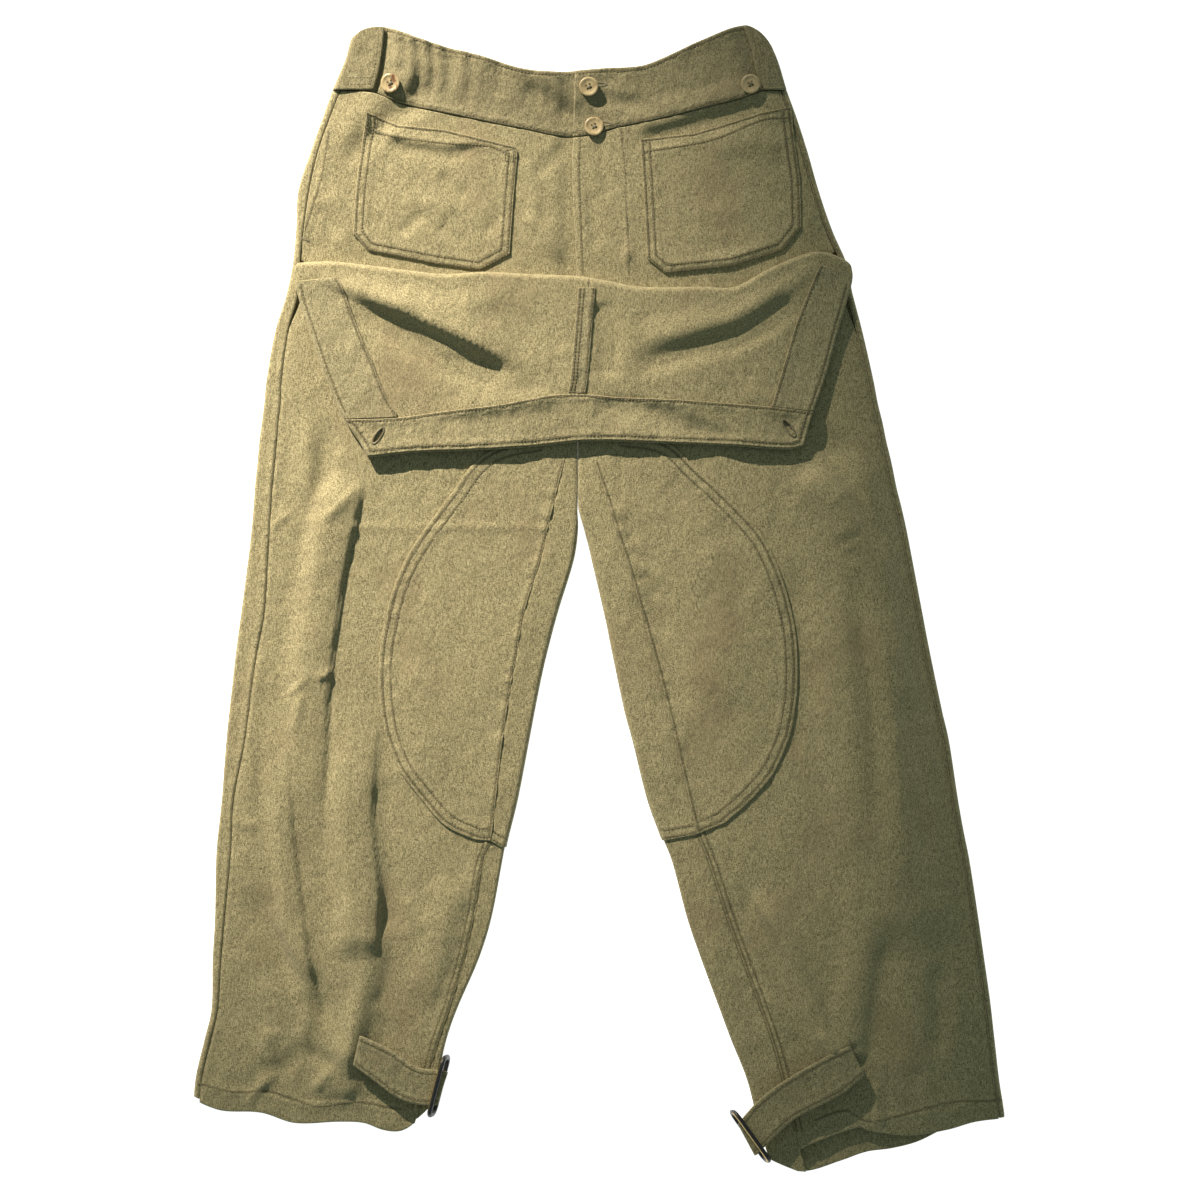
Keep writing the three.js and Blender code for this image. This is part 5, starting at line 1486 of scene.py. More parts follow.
@dataclass
class Bearer(ClothPiece):
    """Half of the hip front, which reaches from the waistband down under the leg front."""

    ACROSS = Stations(EDGE, EDGE, 66)
    UP = Stations((0.8, 3.0, 6.0), EDGE, 34)
    UNDER = 5
    ROWS = {
        "left": (((-248.4, 397), (-253.8, 366)), ((-236.7, 409), (-244, 366), (-258, 322))),
        "right": (((19, 410), (22, 373), (25, 309), (26, 284)),),
    }
    LAP = ((-17.0, 402.0), (-18.2, 373.0), (-15.5, 306.0), (-14.5, 284.0))
    TACK = {"left": ((-262.0, 316.0), (-254.0, 312.5), 2.6), "right": ((-25.0, 408.5), (-21.0, 408.5), 3.0)}

    def _border(self, x: Array) -> tuple[Array, Array, Array]:
        """Return the hidden edge, the level of the fold and the band's seam."""
        fold = fold_y(x)
        return fold - BEARER_TUCK, fold + FOLD_ROLL + 2.0, BAND_SEAM.read("y", x) - 2 * SEAM_GAP

    def sheet(self) -> Sheet:
        """Return the bearer's points from its hidden edge to the band."""
        leg, side_gap = self.leg, SIDE_GAP * self.leg.out
        x = np.zeros((self.UNDER + self.UP.count, self.ACROSS.count))
        y = x + 350.0
        under = np.linspace(0.04, 0.9, self.UNDER)[:, None]
        for _ in range(ROUNDS + 1):
            low, middle, high = self._border(x)
            hidden = mix(low[: self.UNDER], middle[: self.UNDER], under)
            shown = middle[self.UNDER:] + self.UP.across((high - middle)[self.UNDER:].T).T
            y = np.concatenate([hidden, shown])
            share = np.clip((y - low) / (middle - low), 0.0, 1.0)
            narrow = BEARER_INSET * leg.out * (1 - smoothstep(share, 0.55, 1.0))
            side = leg.line("side", y) - side_gap - narrow
            x = side - leg.out * self.ACROSS.across(np.abs(leg.fly(y) - side))
        return Sheet(np.stack([x, y, leg.bearer_top(x, y)], -1), -leg.out, self.rows())

    def rows(self) -> list[Array]:
        """Return the stitch rows that lie on the bearer itself."""
        rows = [curve_through(row) for row in self.ROWS[self.leg.name]]
        return rows + ([np.array(self.LAP)] if self.leg.out > 0 else [])

    def sew(self, thread: Thread) -> None:
        """Sew the side placket, or the fly and its bar tack."""
        for row in self.rows():
            thread.run(row, self.leg.bearer_top, 0.1)
        thread.tack(*self.TACK[self.leg.name], self.leg.bearer_top)


@dataclass
class FrontBand(ClothPiece):
    """Half of the front waistband, from under the back band's end to the fly."""

    ACROSS = Stations(EDGE, EDGE, 56)
    UP = Stations((1.0, *EDGE[1:]), (1.0, *EDGE[1:]), 12)
    LOW_ROW, HIGH_ROW = 2.2, 3.4
    ENDS = {"left": (-196.0, 10.0), "right": (-19.0, 134.0)}
    SHOWN = -23.0  # where the left half goes under the right one

    def sheet(self) -> Sheet:
        """Return the band's points."""
        leg = self.leg
        x, y = between(
            lambda v: BAND_ENDS.read(leg.name, v) + leg.out * 12.0, leg.fly,
            lambda u: BAND_SEAM.read("y", u), lambda u: WAIST_TOP.read("y", u),
            self.ACROSS, self.UP,
        )
        low = turned_edge(y - BAND_SEAM.read("y", x), x, (self.LOW_ROW,), 0.25)
        high = turned_edge(WAIST_TOP.read("y", x) - y, x, (self.HIGH_ROW,), 0.25)
        points = np.stack([x, y, leg.band_top(x, y) + low + high], -1)
        return Sheet(points, -leg.out, self.rows(), under=-FRONT_BAND_CLOTH)

    def rows(self) -> list[Array]:
        """Return the stitch rows above the seam and below the top edge."""
        x = np.linspace(*self.ENDS[self.leg.name], 80)
        levels = (BAND_SEAM.read("y", x) + self.LOW_ROW, WAIST_TOP.read("y", x) - self.HIGH_ROW)
        return [np.column_stack([x, level]) for level in levels]

    def sew(self, thread: Thread) -> None:
        """Sew both rows, and work the ends of the fly's buttonholes."""
        for row in self.rows():
            kept = row[row[:, 0] < self.SHOWN] if self.leg.out < 0 else row
            thread.run(kept, self.leg.band_top, 0.15)
        if self.leg.out > 0:
            for x, y in ((-4.0, 449.5), (0.5, 415.0)):
                thread.buttonhole((x - 8.0, y), (x + 9.0, y), 1.0, self.leg.band_top)


Borders = tuple[Array, Array, Array, Array]


def between_sides(left: Array, right: Array) -> Borders:
    """Return the borders of a piece whose bottom and top are straight."""
    return np.array([left[0], right[0]]), np.array([left[-1], right[-1]]), left, right


@dataclass
class OutlinedPiece(ClothPiece):
    """A flat piece sewn onto a panel, filled between four borders."""

    rows_in: tuple[float, ...] = (1.8,)

    PANEL = Leg.top

    def borders(self) -> Borders:
        """Return the bottom, top, left and right borders."""
        raise NotImplementedError

    def base(self, x: Array, y: Array) -> Array:
        """Return the height of the panel below."""
        return type(self).PANEL(self.leg, x, y)

    def face(self, x: Array, y: Array) -> Array:
        """Return the height of the piece's outer face, without its edge."""
        return self.base(x, y) + OVER

    def outline(self) -> Array:
        """Return the edge that is turned and stitched."""
        bottom, top, left, right = self.borders()
        return np.concatenate([bottom, right[1:], top[::-1][1:], left[::-1][1:]])

    def height(self, x: Array, y: Array) -> Array:
        """Return the height of the piece's outer face, with its turned edge."""
        away, far, _ = nearest(self.outline(), x, y)
        return self.face(x, y) + turned_edge(away, far, self.rows_in, 0.14)

    def stations(self) -> tuple[Array, Array]:
        """Return the shares of the grid's rows and columns."""
        shares = []
        for path in self.borders()[::2]:
            length = walked(path)[-1]
            count = max(int((length - 2 * PATCH_EDGE[-1]) / 2.6), 3)
            shares.append(Stations(PATCH_EDGE, PATCH_EDGE, count).across(length) / length)
        return shares[0], shares[1]

    def stitch_rows(self) -> list[Array]:
        """Return the rows that follow the outline, each the same distance inside it."""
        return [inside(self.outline(), row) for row in self.rows_in]

    def sheet(self) -> Sheet:
        """Return the piece's points, laid on the panel."""
        grid = coons(*self.borders(), *self.stations())
        points = np.concatenate([grid, self.height(grid[..., 0], grid[..., 1])[..., None]], -1)
        return Sheet(points, facing_of(points), self.stitch_rows(), under=-PATCH_CLOTH)

    def sew(self, thread: Thread) -> None:
        """Sew the rows round the outline."""
        for row in self.stitch_rows():
            thread.run(row, self.face, 0.25)


def inside(path: Array, distance: float) -> Array:
    """Return a path moved to the left of somebody who walks along it, with its corners cut."""
    fine = evenly(path, 1.5)
    step = np.gradient(fine, axis=0)
    step /= np.maximum(np.linalg.norm(step, axis=1, keepdims=True), TINY)
    moved = fine + np.column_stack([-step[:, 1], step[:, 0]]) * distance
    away = nearest(path, moved[:, 0], moved[:, 1])[0]
    return moved[away > distance - 0.35]


@dataclass
class Pocket(OutlinedPiece):
    """A patch pocket on the hip, with clipped lower corners."""

    PANEL = Leg.bearer_top
    HEM_ROWS = {
        "left": ((-206, 413), (-186, 405), (-137, 398), (-95, 395), (-77, 386)),
        "right": ((37, 390), (99, 401), (145, 419), (168, 420)),
    }
    BORDERS = {
        "left": ("-215 319, -203 304, -141 292, -105 287, -79 301",
                 "-203 425, -176 414, -136 410, -74 395",
                 "-215 319, -213 356, -208 395, -203 425", "-79 301, -75 357, -72 390, -74 395"),
        "right": ("42 297, 57 284, 116 290, 160 304, 176 324",
                  "36 402, 83 407, 116 417, 141 425, 167 430",
                  "42 297, 39 356, 36 402", "176 324, 175 366, 170 402, 167 430"),
    }

    def borders(self) -> Borders:
        """Return the pocket's borders."""
        return tuple(places(border) for border in self.BORDERS[self.leg.name])

    def stitch_rows(self) -> list[Array]:
        """Return the rows at the sides and bottom, and the hem's row."""
        bottom, top, left, right = self.borders()
        three = np.concatenate([left[::-1], bottom[1:], right[1:]])
        hem = curve_through(self.HEM_ROWS[self.leg.name])
        return [inside(three, EDGE_ROW), inside(three, 7.2), inside(top[::-1], 1.4), hem]

    def sew(self, thread: Thread) -> None:
        """Sew the rows, and a bar tack at each end of the mouth."""
        super().sew(thread)
        top = self.borders()[1]
        box = np.array([(2.0, -2.0), (9.0, -3.5), (8.5, -12.5), (1.8, -12.5), (2.0, -2.0)])
        for corner, way in ((top[0], 1), (top[-1], -1)):
            thread.run(corner + box * (way, 1), self.face, 0.3, 1.5)


@dataclass
class FallFacing(OutlinedPiece):
    """The facing along a side of the fall, on its inside."""

    PANEL = Leg.fall_top
    INNER = {
        "left": ((-177, 161), (-186, 175), (-199, 207), (-209, 230), (-224, 270), (-229, 280)),
        "right": ((150, 166), (161, 203), (173, 243), (188, 280), (193, 291)),
    }

    def borders(self) -> Borders:
        """Return the facing's borders: its outer side follows the fall's edge."""
        leg = self.leg
        inner = curve_through(self.INNER[leg.name])
        seam = curve_through(FallBand.SEAM)
        side = FALL_SIDES.read(leg.name, np.array(159.0))
        low, inner[0, 1] = (float(np.interp(x, *seam.T)) + 0.4 for x in (side, inner[0, 0]))
        levels = np.linspace(low, inner[-1, 1] - (3.0 if leg.out < 0 else 7.0), 60)
        return between_sides(*leg.ordered(leg.fall_row(levels, FALL_INSET), inner))

    def outline(self) -> Array:
        """Return the inner edge, which alone is turned."""
        _, _, left, right = self.borders()
        return right if self.leg.out < 0 else left[::-1]

    def stitch_rows(self) -> list[Array]:
        """Return the row inside the facing's inner edge, and the one along the fall's edge."""
        edge = self.leg.fall_row(np.linspace(163.0, 274.0, 50), FALL_ROW)
        return [inside(self.outline(), EDGE_ROW), edge]


@dataclass
class FallBand(OutlinedPiece):
    """Half of the band along the free edge of the fall, with a buttonhole at its corner."""

    PANEL = Leg.fall_top
    SEAM = ((-222, 156), (-177, 157.5), (-137, 163), (-87, 169), (-45, 177), (-19, 178.5),
            (16, 175.5), (66, 173.5), (108, 170.5), (148, 167), (184, 163))
    ENDS = {"left": -200.0, "right": 174.5}

    def borders(self) -> Borders:
        """Return the band's borders: its ends and its lower side follow the fall's edges."""
        leg, seam = self.leg, curve_through(self.SEAM)
        centre, corner = -18.0 - leg.out * 0.2, 0 if self.leg.out < 0 else -1
        upper = seam[(seam[:, 0] - centre) * leg.out > 0]
        low_x = np.linspace(*leg.ordered(self.ENDS[leg.name], centre), 80)
        lower = np.column_stack([low_x, FALL_EDGE.read("y", low_x) + 1.4])
        side = leg.fall_row(np.linspace(lower[corner, 1], upper[corner, 1], 20), FALL_INSET)
        lower[corner], upper[corner] = side[0], side[-1]
        middle = np.array([lower[-1 - corner], upper[-1 - corner]])
        return lower, upper, *leg.ordered(side, middle)

    def outline(self) -> Array:
        """Return the turned edges: the free edge, the end and the seam."""
        lower, upper, left, right = self.borders()
        if self.leg.out < 0:
            return np.concatenate([upper[::-1], left[::-1][1:], lower[1:]])
        return np.concatenate([lower, right[1:], upper[::-1][1:]])

    def stitch_rows(self) -> list[Array]:
        """Return the row above the free edge and round the end, and the row at the seam."""
        lower, upper, left, right = self.borders()
        edge = (left[::-1], lower[1:]) if self.leg.out < 0 else (lower, right[1:])
        return [inside(np.concatenate(edge), 4.0), inside(upper[::-1], EDGE_ROW)]

    def build(self) -> None:
        """Make the band and its stitches, and cut the buttonhole open."""
        super().build()
        start, end = (Vector((*place, 0.0)) for place in SLITS[self.leg.name])
        middle, way = (start + end) / 2, end - start
        level = self.base(np.array(middle.x), np.array(middle.y)).item()
        bpy.ops.mesh.primitive_cylinder_add(vertices=32, radius=1.0, depth=12.0)
        knife = bpy.context.object
        turn = Matrix.Rotation(math.atan2(way.y, way.x), 4, "Z")
        size = Matrix.Diagonal((way.length / 2, SLIT_HALF, 1.0, 1.0))
        place = Matrix.Translation((middle.x, middle.y, level)) @ turn @ size
        knife.data.transform(Matrix.Scale(MM, 4) @ place)
        drill(self.cloth, knife)

    def sew(self, thread: Thread) -> None:
        """Sew the rows and work the buttonhole."""
        super().sew(thread)
        thread.buttonhole(*SLITS[self.leg.name], SLIT_HALF, self.face, 0.35)


@dataclass
class CentreFell(OutlinedPiece):
    """The felled centre seam of the fall."""

    rows_in: tuple[float, ...] = (1.4,)

    PANEL = Leg.fall_top
    NARROW = (0.5, 0.8, 1.2, 1.7, 2.4, 3.2)

    def borders(self) -> Borders:
        """Return the fell's borders."""
        left = curve_through([(-27, 179), (-25, 190), (-21, 235), (-18, 271)])
        right = curve_through([(-13, 179), (-11, 190), (-7, 235), (-4, 271)])
        return between_sides(left, right)

    def base(self, x: Array, y: Array) -> Array:
        """Return the height of the fall's inside, less the fell's thinner cloth."""
        return super().base(x, y) - 0.3

    def outline(self) -> Array:
        """Return both long edges."""
        _, _, left, right = self.borders()
        return np.concatenate([right, left[::-1]])

    def stations(self) -> tuple[Array, Array]:
        """Return shares that suit a narrow strip."""
        across, down = (Stations(self.NARROW, self.NARROW, count).across(length) / length
                        for count, length in ((3, 9.3), (44, 92.0)))
        return across, down

    def stitch_rows(self) -> list[Array]:
        """Return three rows down the fell."""
        _, _, left, right = self.borders()
        return [inside(right, 1.4), inside(left[::-1], 1.4), inside(left[::-1], 4.4)]


@dataclass
class KneePatch(OutlinedPiece):
    """The long round patch on a leg's front, from under the fall to below the knee."""

    rows_in: tuple[float, ...] = (3.5, 10.5)

    CURVES = {
        "left": ((-52, 140), (-87, 133), (-109, 119), (-129, 92), (-153, 60), (-168, 37),
                 (-178, 15), (-186, -12), (-192, -45), (-193, -79), (-191, -101), (-186, -124),
                 (-175, -150), (-157, -174), (-140, -194), (-129, -202), (-108, -211)),
        "right": ((18, 144), (49, 140), (66, 132), (83, 115), (103, 97), (123, 77), (140, 58),
                  (153, 35), (163, 8), (170, -20), (173, -45), (173, -79), (170, -104),
                  (165, -124), (151, -154), (130, -178), (108, -197)),
    }
    LOWEST = {"left": -212.0, "right": -206.0}
    INSEAM_ROW = 2.6

    def borders(self) -> Borders:
        """Return the patch's borders: its inner side lies along the inseam."""
        leg = self.leg
        curve = curve_through(self.CURVES[leg.name], 3.0)[::-1]
        seam = leg.row("inseam", np.linspace(self.LOWEST[leg.name], 141.0, 120), 0.7)
        return between_sides(*leg.ordered(curve, seam))

    def outline(self) -> Array:
        """Return the round edge and the bottom, which are turned."""
        bottom, _, left, right = self.borders()
        edge = (left[::-1], bottom[1:]) if self.leg.out < 0 else (bottom, right[1:])
        return np.concatenate(edge)

    def stations(self) -> tuple[Array, Array]:
        """Return shares that are even along the seam and close together at the round edge."""
        across = Stations(PATCH_EDGE, (0.6, 1.2, 2.4, 4.5), 46).across(150.0) / 150.0
        down = Stations((0.6, 1.2, 2.4, 4.0, 6.0), (0.6, 2.0, 4.0), 118).across(352.0) / 352.0
        return (across if self.leg.out < 0 else 1.0 - across[::-1]), down

    def height(self, x: Array, y: Array) -> Array:
        """Return the height of the patch's outer face, which puckers beside the inseam too."""
        away = (x - self.leg.line("inseam", y)) * self.leg.out
        puckers = 1.6 * PUCKER.at(y, np.full_like(y, 3.0)) * np.exp(-(((away - 3.0) / 7.0) ** 2))
        return super().height(x, y) + turned_edge(away, y, (self.INSEAM_ROW,), 0.35) + puckers

    def stitch_rows(self) -> list[Array]:
        """Return the two rows inside the outline, and the one along the inseam."""
        levels = np.linspace(self.LOWEST[self.leg.name] + 3.0, 120.0, 110)
        return super().stitch_rows() + [self.leg.row("inseam", levels, self.INSEAM_ROW)]


@dataclass
class KneePatchInner(ClothPiece):
    """The patch's own back piece, which rolls round the inner edge of the leg."""

    TOP = 139.0
    DROOP = 5.0
    ROWS = (1.8, 8.0)
    REACH = 345.0

    def _bottom(self, u: Array) -> Array:
        """Return the level of the lower edge, which droops towards the leg's inner edge."""
        return KneePatch.LOWEST[self.leg.name] - self.DROOP * np.minimum(u, 1.0)

    def stitch_rows(self) -> list[Array]:
        """Return the two rows above the lower edge."""
        u = np.linspace(0.04, 1.02, 12)
        levels = [self._bottom(u) + row for row in self.ROWS]
        return [np.column_stack([leg_ring(self.leg, y, u)[0], y]) for y in levels]

    def sheet(self) -> Sheet:
        """Return the patch's points, from the inseam round the edge."""
        us = np.concatenate([np.linspace(0.0, 1.0, 8), np.linspace(1.0, 1.5, 9)[1:]])
        steps = np.concatenate([np.linspace(0.0, 12.0, 11), np.linspace(12.0, self.REACH, 105)[1:]])
        low = self._bottom(us)
        y = low + steps[:, None] / self.REACH * (self.TOP - low)
        u = us[None] * (1 - 0.19 * smoothstep(y, 50.0, 80.0))
        x, z = leg_ring(self.leg, y, u)
        z = z - 0.25 * sum(np.exp(-((y - low - row) ** 2)) for row in self.ROWS)
        return Sheet(np.stack([x, y, z], -1), -self.leg.out, self.stitch_rows(), OVER, SEAM_GAP)

    def sew(self, thread: Thread) -> None:
        """Sew the rows above the lower edge."""
        for row in self.stitch_rows():
            thread.run(row, lambda x, y: self.leg.top(x, y) + OVER, 0.1)


# ---- Straps, buckles and buttons
STRAP_CLOTH = 2.2
STRAP_END = 17.0


@dataclass
class AnkleStrap(ClothPiece):
    """A strap at the cuff, sewn to the leg's front, which rises through its buckle."""

    BORDERS = {
        "left": (((-208, -381), (-183, -393), (-160, -408), (-141, -411), (-133, -412)),
                 ((-214, -407), (-195, -421), (-177, -434), (-160, -440), (-142, -441))),
        "right": (((217, -390), (196, -400), (160, -421), (139, -437), (121, -457)),
                  ((230, -416), (210, -432), (170, -453), (154, -467), (136, -485))),
    }
    SINK = {"left": 1.1, "right": 0.3}
    ACROSS = Stations(EDGE[:8], EDGE[:8], 8)
    WIDTH = 30.0
    ROW_IN = 3.5
    ALONG = 60

    def _borders(self) -> list[Array]:
        """Return the upper and the lower border, with their heights."""
        borders = self.BORDERS[self.leg.name]
        sewn = np.array([border[:2] for border in borders], dtype=float)
        start = self.leg.top(sewn[..., 0], sewn[..., 1]).max() - self.SINK[self.leg.name]
        heights = (start, mix(start, STRAP_END, 0.35), STRAP_END - 0.5, STRAP_END, STRAP_END)
        rows = []
        for border in borders:
            curve = curve_through([(x, y, z) for (x, y), z in zip(border, heights)], 0.5)
            at = np.linspace(0.0, len(curve) - 1.0, self.ALONG)
            rows.append(np.stack([np.interp(at, np.arange(len(curve)), c) for c in curve.T], -1))
        return rows

    def sheet(self) -> Sheet:
        """Return the strap's points: rows across it, columns along it."""
        upper, lower = self._borders()
        width = np.linalg.norm(upper - lower, axis=-1)[:, None]
        share = self.ACROSS.across(width) / width
        points = upper[:, None] + (lower - upper)[:, None] * share[..., None]
        for part in (share, 1 - share):
            edge = turned_edge(part * width, np.cumsum(width, axis=0) / 12, (self.ROW_IN,), 0.4)
            points[..., 2] += edge * 0.6
        near = self.ACROSS.across(self.WIDTH)
        columns = [int(np.argmin(np.abs(near - at))) for at in (self.ROW_IN, self.WIDTH - self.ROW_IN)]
        rows = [points[:, column, :2] for column in columns]
        return Sheet(points, facing_of(points), rows, STRAP_CLOTH, 0.0)

    def sew(self, thread: Thread) -> None:
        """Sew both edges."""
        upper, lower = self._borders()
        for share in (0.115, 0.885):
            path = mix(upper, lower, share)
            flat = path[:, :2]
            lift = lambda x, y: np.interp(nearest(flat, x, y)[1], walked(flat), path[:, 2])
            thread.run(flat[2:-1], lift, STRAP_CLOTH + 0.15)


@dataclass
class Buckle:
    """A rectangular wire loop that stands on one long side, with enamel over brass."""

    node: str
    material: Material
    leg: Leg
    foot: tuple[float, float, float]
    along: Place
    lean: float
    length: float = 56.0
    height: float = 24.0
    wire: float = 4.2
    corner: float = 7.0
    steps: int = 160
    sides: int = 16

    def build(self) -> None:
        """Sweep a round wire along a rectangle with round corners."""
        half, rise = self.length / 2 - self.wire / 2, self.height - self.wire
        r = self.corner
        arcs = []
        for cx, cz, start in ((half - r, r, -90), (half - r, rise - r, 0), (r - half, rise - r, 90),
                              (r - half, r, 180)):
            turns = np.radians(start + np.linspace(0.0, 90.0, 13))
            arcs.append(np.column_stack([cx + r * np.cos(turns), cz + r * np.sin(turns)]))
        loop = np.concatenate([*arcs, arcs[0][:1]])
        path = evenly(loop, (2 * (self.length + self.height)) / self.steps)[:-1]
        step = np.roll(path, -1, axis=0) - np.roll(path, 1, axis=0)
        step /= np.linalg.norm(step, axis=1, keepdims=True)
        turns = 2 * math.pi * np.arange(self.sides) / self.sides
        reach = self.wire / 2
        x = path[:, :1] + step[:, 1:] * reach * np.cos(turns)
        z = path[:, 1:] - step[:, :1] * reach * np.cos(turns)
        local = np.stack([x, np.broadcast_to(reach * np.sin(turns), x.shape), z], -1).reshape(-1, 3)
        grid = np.arange(len(local)).reshape(len(path), self.sides)
        angle = math.atan2(self.along[1], self.along[0])
        place = Matrix.Translation(self.foot) @ Matrix.Rotation(angle, 4, "Z")
        place = place @ Matrix.Rotation(self.lean, 4, "X")
        turned = np.array([place @ Vector(p) for p in local.tolist()])
        rubbed = smoothstep(-np.tile(np.sin(turns), len(path)), 0.3, 0.75)
        worn = 0.1 + 0.55 * rubbed * smoothstep(local[:, 2], rise * 0.6, rise * 0.9)
        faces = tube_faces(np.concatenate([grid, grid[:1]])).tolist()
        made = mesh_object(f"loop_{self.node}", turned, faces, {"worn": worn})
        dress(made, self.material, self.node)


@dataclass
class Button:
    """A four-hole sew-through button with a raised rim, sewn on with crossed thread."""

    node: str
    place: Place
    leg: Leg
    material: Material
    thread_material: Material
    tilt: tuple[float, float] = (0.0, 0.0)
    spin: float = 0.4
    radius: float = 8.5
    thick: float = 1.9
    around: int = 72

    FACE = 0.62  # height of the sunk middle, as a share of the thickness
    PROFILE = ((0.66, 0.0), (0.86, 0.1), (0.97, 0.32), (1.0, 0.56), (0.985, 0.8), (0.93, 0.97),
               (0.86, 1.0), (0.78, 0.97), (0.7, 0.86), (0.62, 0.72), (0.5, 0.64), (0.25, 0.62))
    HOLE_TURNS = math.pi / 2 * (np.arange(4) + 0.5)
    HOLE_AWAY = 2.2

    def _seat(self) -> float:
        """Return the height on which the button rests."""
        reach = 0.6 * np.array([-self.radius, 0.0, self.radius])
        x, y = np.meshgrid(self.place[0] + reach, self.place[1] + reach)
        return float(self.leg.band_top(x, y).max()) + SEAM_GAP

    def _holes(self, turn: float = 0.0) -> Array:
        """Return the places of the four holes beside the button's middle."""
        turns = self.HOLE_TURNS + turn
        return self.HOLE_AWAY * np.column_stack([np.cos(turns), np.sin(turns)])

    def _disc(self) -> Object:
        """Turn the button's profile and drill its four holes."""
        turns = 2 * math.pi * np.arange(self.around) / self.around
        out = self.radius * np.array([[r] for r, _ in self.PROFILE])
        up = self.thick * np.array([[h] for _, h in self.PROFILE]) + 0.0 * turns
        rings = np.stack([out * np.cos(turns), out * np.sin(turns), up], -1).reshape(-1, 3)
        vertices = np.concatenate([rings, [[0.0, 0.0, 0.0], [0.0, 0.0, self.thick * self.FACE]]])
        grid = np.arange(len(rings)).reshape(-1, self.around)
        after = np.roll(grid, -1, axis=1)
        faces = tube_faces(grid).tolist()
        for i, j, k, m in np.stack([grid[0], after[0], grid[-1], after[-1]], -1).tolist():
            faces += [[len(rings), j, i], [len(rings) + 1, k, m]]
        made = mesh_object(f"disc_{self.node}", vertices, faces)
        for x, y in self._holes() * MM:
            bpy.ops.mesh.primitive_cylinder_add(
                vertices=20, radius=0.95 * MM, depth=20 * MM, location=(x, y, 0.0))
            drill(made, bpy.context.object)
        made.data.shade_smooth()
        made.data.set_sharp_from_angle(angle=math.radians(50.0))
        return made

    def build(self) -> None:
        """Make the button, tilt it as it lies, and sew it on."""
        made = self._disc()
        seat = Matrix.Translation((self.place[0] * MM, self.place[1] * MM, self._seat() * MM))
        tilt = Matrix.Rotation(self.tilt[0], 4, "X") @ Matrix.Rotation(self.tilt[1], 4, "Y")
        made.data.transform(seat @ tilt @ Matrix.Rotation(self.spin, 4, "Z"))
        dress(made, self.material, self.node)
        thread = Thread(f"thread_{self.node}", radius=0.42)
        level = level_at(self._seat() + self.thick * self.FACE)
        holes = self.place + self._holes(self.spin)
        for a, b in ((0, 2), (1, 3)):
            square = beside(holes[a], holes[b])[2] * 0.45
            for off in (-square, square):
                thread.between(holes[a:a + 1] + off, holes[b:b + 1] + off, level, 0.35)
        dress(thread.build(), self.thread_material)


# ---- Stage
@dataclass
class Stage:
    """A plain pale floor, soft light from the upper left, and a camera straight above."""

    view_width: float = 1.05
    camera_height: float = 2.6
    aim: tuple[float, float, float] = (0.0004, -0.0013, 0.006)
    lit: tuple[float, float, float] = (-0.664, 0.8, 0.0)
    lamp_away: float = 5.0
    lamp_rise: float = math.radians(26.9)
    lamp_turn: float = math.radians(27.8)
    beam: float = math.radians(14.75)

    def build(self) -> None:
        """Make the floor, the lights and the camera."""
        self._floor()
        self._light()
        self._camera()
        scene = bpy.context.scene
        scene.view_settings.view_transform = "Standard"
        scene.view_settings.exposure = 0.0

    def _floor(self) -> None:
        """Lay the floor."""
        bpy.ops.mesh.primitive_plane_add(size=12.0, location=(0.0, 0.0, -0.0005))
        floor = bpy.context.object
        floor.name = "floor"
        n = Nodes("pale_floor")
        n.give({"Base Color": (0.86, 0.86, 0.85), "Roughness": 0.9,
                "Emission Color": (1.0, 1.0, 1.0), "Emission Strength": 0.9})
        floor.data.materials.append(n.material)

    def _light(self) -> None:
        """Hang the main light on the upper left, and fill the shadows from all round."""
        key = bpy.data.lights.new("key", "SPOT")
        key.spot_size = self.beam
        key.spot_blend = 0.86
        key.shadow_soft_size = 0.03
        key.energy = 4950.0
        key.color = (1.0, 0.915, 0.875)
        lamp = bpy.data.objects.new("key", key)
        target = Vector(self.lit)
        flat = math.cos(self.lamp_rise)
        way = Vector((-math.sin(self.lamp_turn) * flat, math.cos(self.lamp_turn) * flat,
                      math.sin(self.lamp_rise)))
        lamp.location = target + way * self.lamp_away
        lamp.rotation_euler = (-way).to_track_quat("-Z", "Y").to_euler()
        bpy.context.scene.collection.objects.link(lamp)
        world = bpy.data.worlds.new("room")
        world.use_nodes = True
        back = world.node_tree.nodes["Background"]
        back.inputs["Color"].default_value = (0.76, 1.0, 1.05, 1.0)
        back.inputs["Strength"].default_value = 0.25
        bpy.context.scene.world = world

    def _camera(self) -> None:
        """Set the camera above the garment's middle, looking down."""
        data = bpy.data.cameras.new("camera")
        data.sensor_width = 36.0
        data.lens = 36.0 * self.camera_height / self.view_width
        camera = bpy.data.objects.new("camera", data)
        camera.location = (self.aim[0], self.aim[1], self.aim[2] + self.camera_height)
        bpy.context.scene.collection.objects.link(camera)
        bpy.context.scene.camera = camera


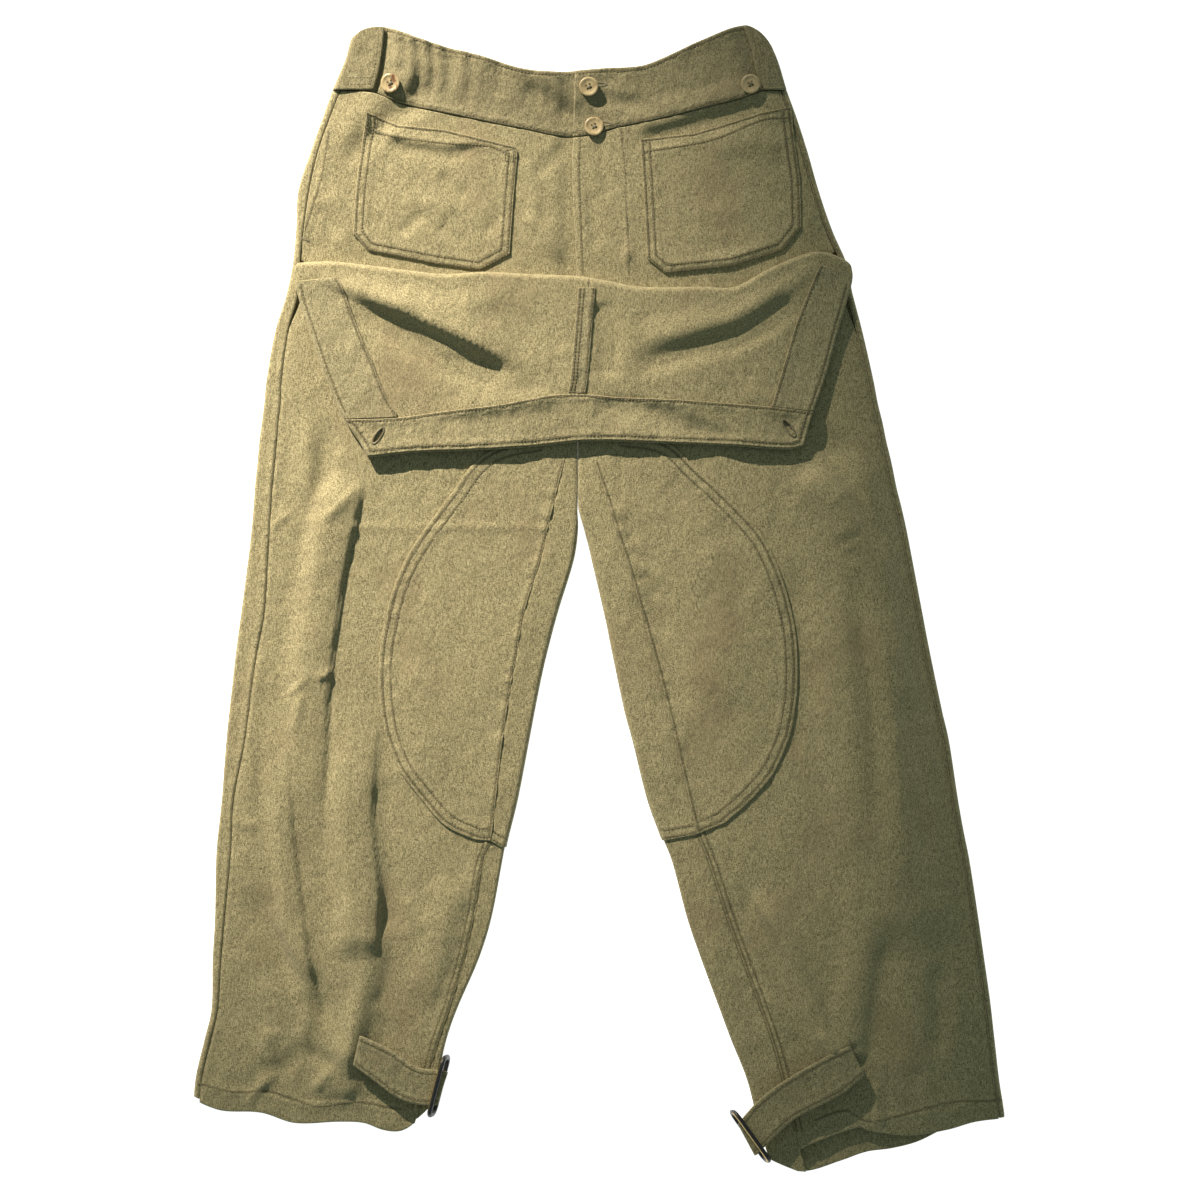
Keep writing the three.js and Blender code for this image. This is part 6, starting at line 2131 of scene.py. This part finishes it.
# ---- The garment
@dataclass
class Jodhpurs:
    """All the pieces of the garment, in the order they lie on each other."""

    wardrobe: Wardrobe

    def cloth_pieces(self) -> list[ClothPiece]:
        """Return every cloth piece, with its flat cut."""
        w = self.wardrobe
        kinds = (
            (LegBack, "back", "twill", w.twill, Cut(0.34, 0.92, 0.25), ""),
            (LegFront, "front", "twill", w.twill, Cut(0.27, 0.90, 0.22, Hold.FOLDED), "back_"),
            (Bearer, "bearer", "twill", w.twill, Cut(0.27, 0.16, 0.036), "back_"),
            (FrontBand, "waistband_front", "twill", w.band, Cut(0.21, 0.07, 0.011), "bearer_"),
            (Pocket, "pocket", "twill", w.twill, Cut(0.15, 0.14, 0.017), "bearer_"),
            (FallFacing, "fall_facing", "twill_inside", w.inside, Cut(0.05, 0.14, 0.0045), "front_"),
            (FallBand, "fall_band", "twill_inside", w.across, Cut(0.21, 0.05, 0.008), "front_"),
            (KneePatch, "knee_patch", "twill", w.twill, Cut(0.17, 0.36, 0.036), "front_"),
            (KneePatchInner, "knee_patch_inner", "twill", w.twill, Cut(0.05, 0.36, 0.0105), "back_"),
            (AnkleStrap, "strap", "twill_strap", w.strap, Cut(0.14, 0.032, 0.0034), "front_"),
        )
        made = [
            kind(f"{name}_{leg.name}", slot, cut, [f"{below}{leg.name}" if below else "floor"],
                 look, w.thread, leg)
            for leg in LEGS for kind, name, slot, look, cut, below in kinds
        ]
        fell = CentreFell("fall_centre_seam", "twill_inside", Cut(0.016, 0.1, 0.0013),
                          ["front_left", "front_right"], w.inside, w.thread)
        band = BackBand("waistband_back", "twill", Cut(0.50, 0.07, 0.03, Hold.FOLDED),
                        ["floor"], w.band, w.thread)
        return [*made, fell, band]

    def build(self) -> None:
        """Make every piece in order, and log it."""
        for piece in self.cloth_pieces():
            piece.build()
            piece.dress()
        w = self.wardrobe
        lean = 0.2
        Buckle("buckle_left", w.metal, LEFT_LEG, (-138.5, -426.0, 2.4), (-13.0, -50.0), lean).build()
        Buckle("buckle_right", w.metal, RIGHT_LEG, (130.0, -470.5, 2.4), (33.0, -46.0), -lean).build()
        for name, place, leg, look, tilt in (
            ("fly_upper", (-9.5, 447.0), RIGHT_LEG, w.horn, (0.0, 0.0)),
            ("fly_lower", (-4.8, 412.7), RIGHT_LEG, w.horn, (-0.12, 0.05)),
            ("side_left", (-182.8, 450.2), LEFT_LEG, w.tortoise, (0.0, -0.12)),
            ("side_right", (132.0, 449.3), RIGHT_LEG, w.horn, (0.0, 0.0)),
        ):
            Button(f"button_{name}", place, leg, look, w.thread, tilt).build()


def main() -> None:
    """Build the garment and its stage."""
    logging.basicConfig(level=logging.INFO, format="%(name)s: %(message)s")
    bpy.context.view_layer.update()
    Stage().build()
    Jodhpurs(Wardrobe()).build()


if __name__ == "__main__":
    main()
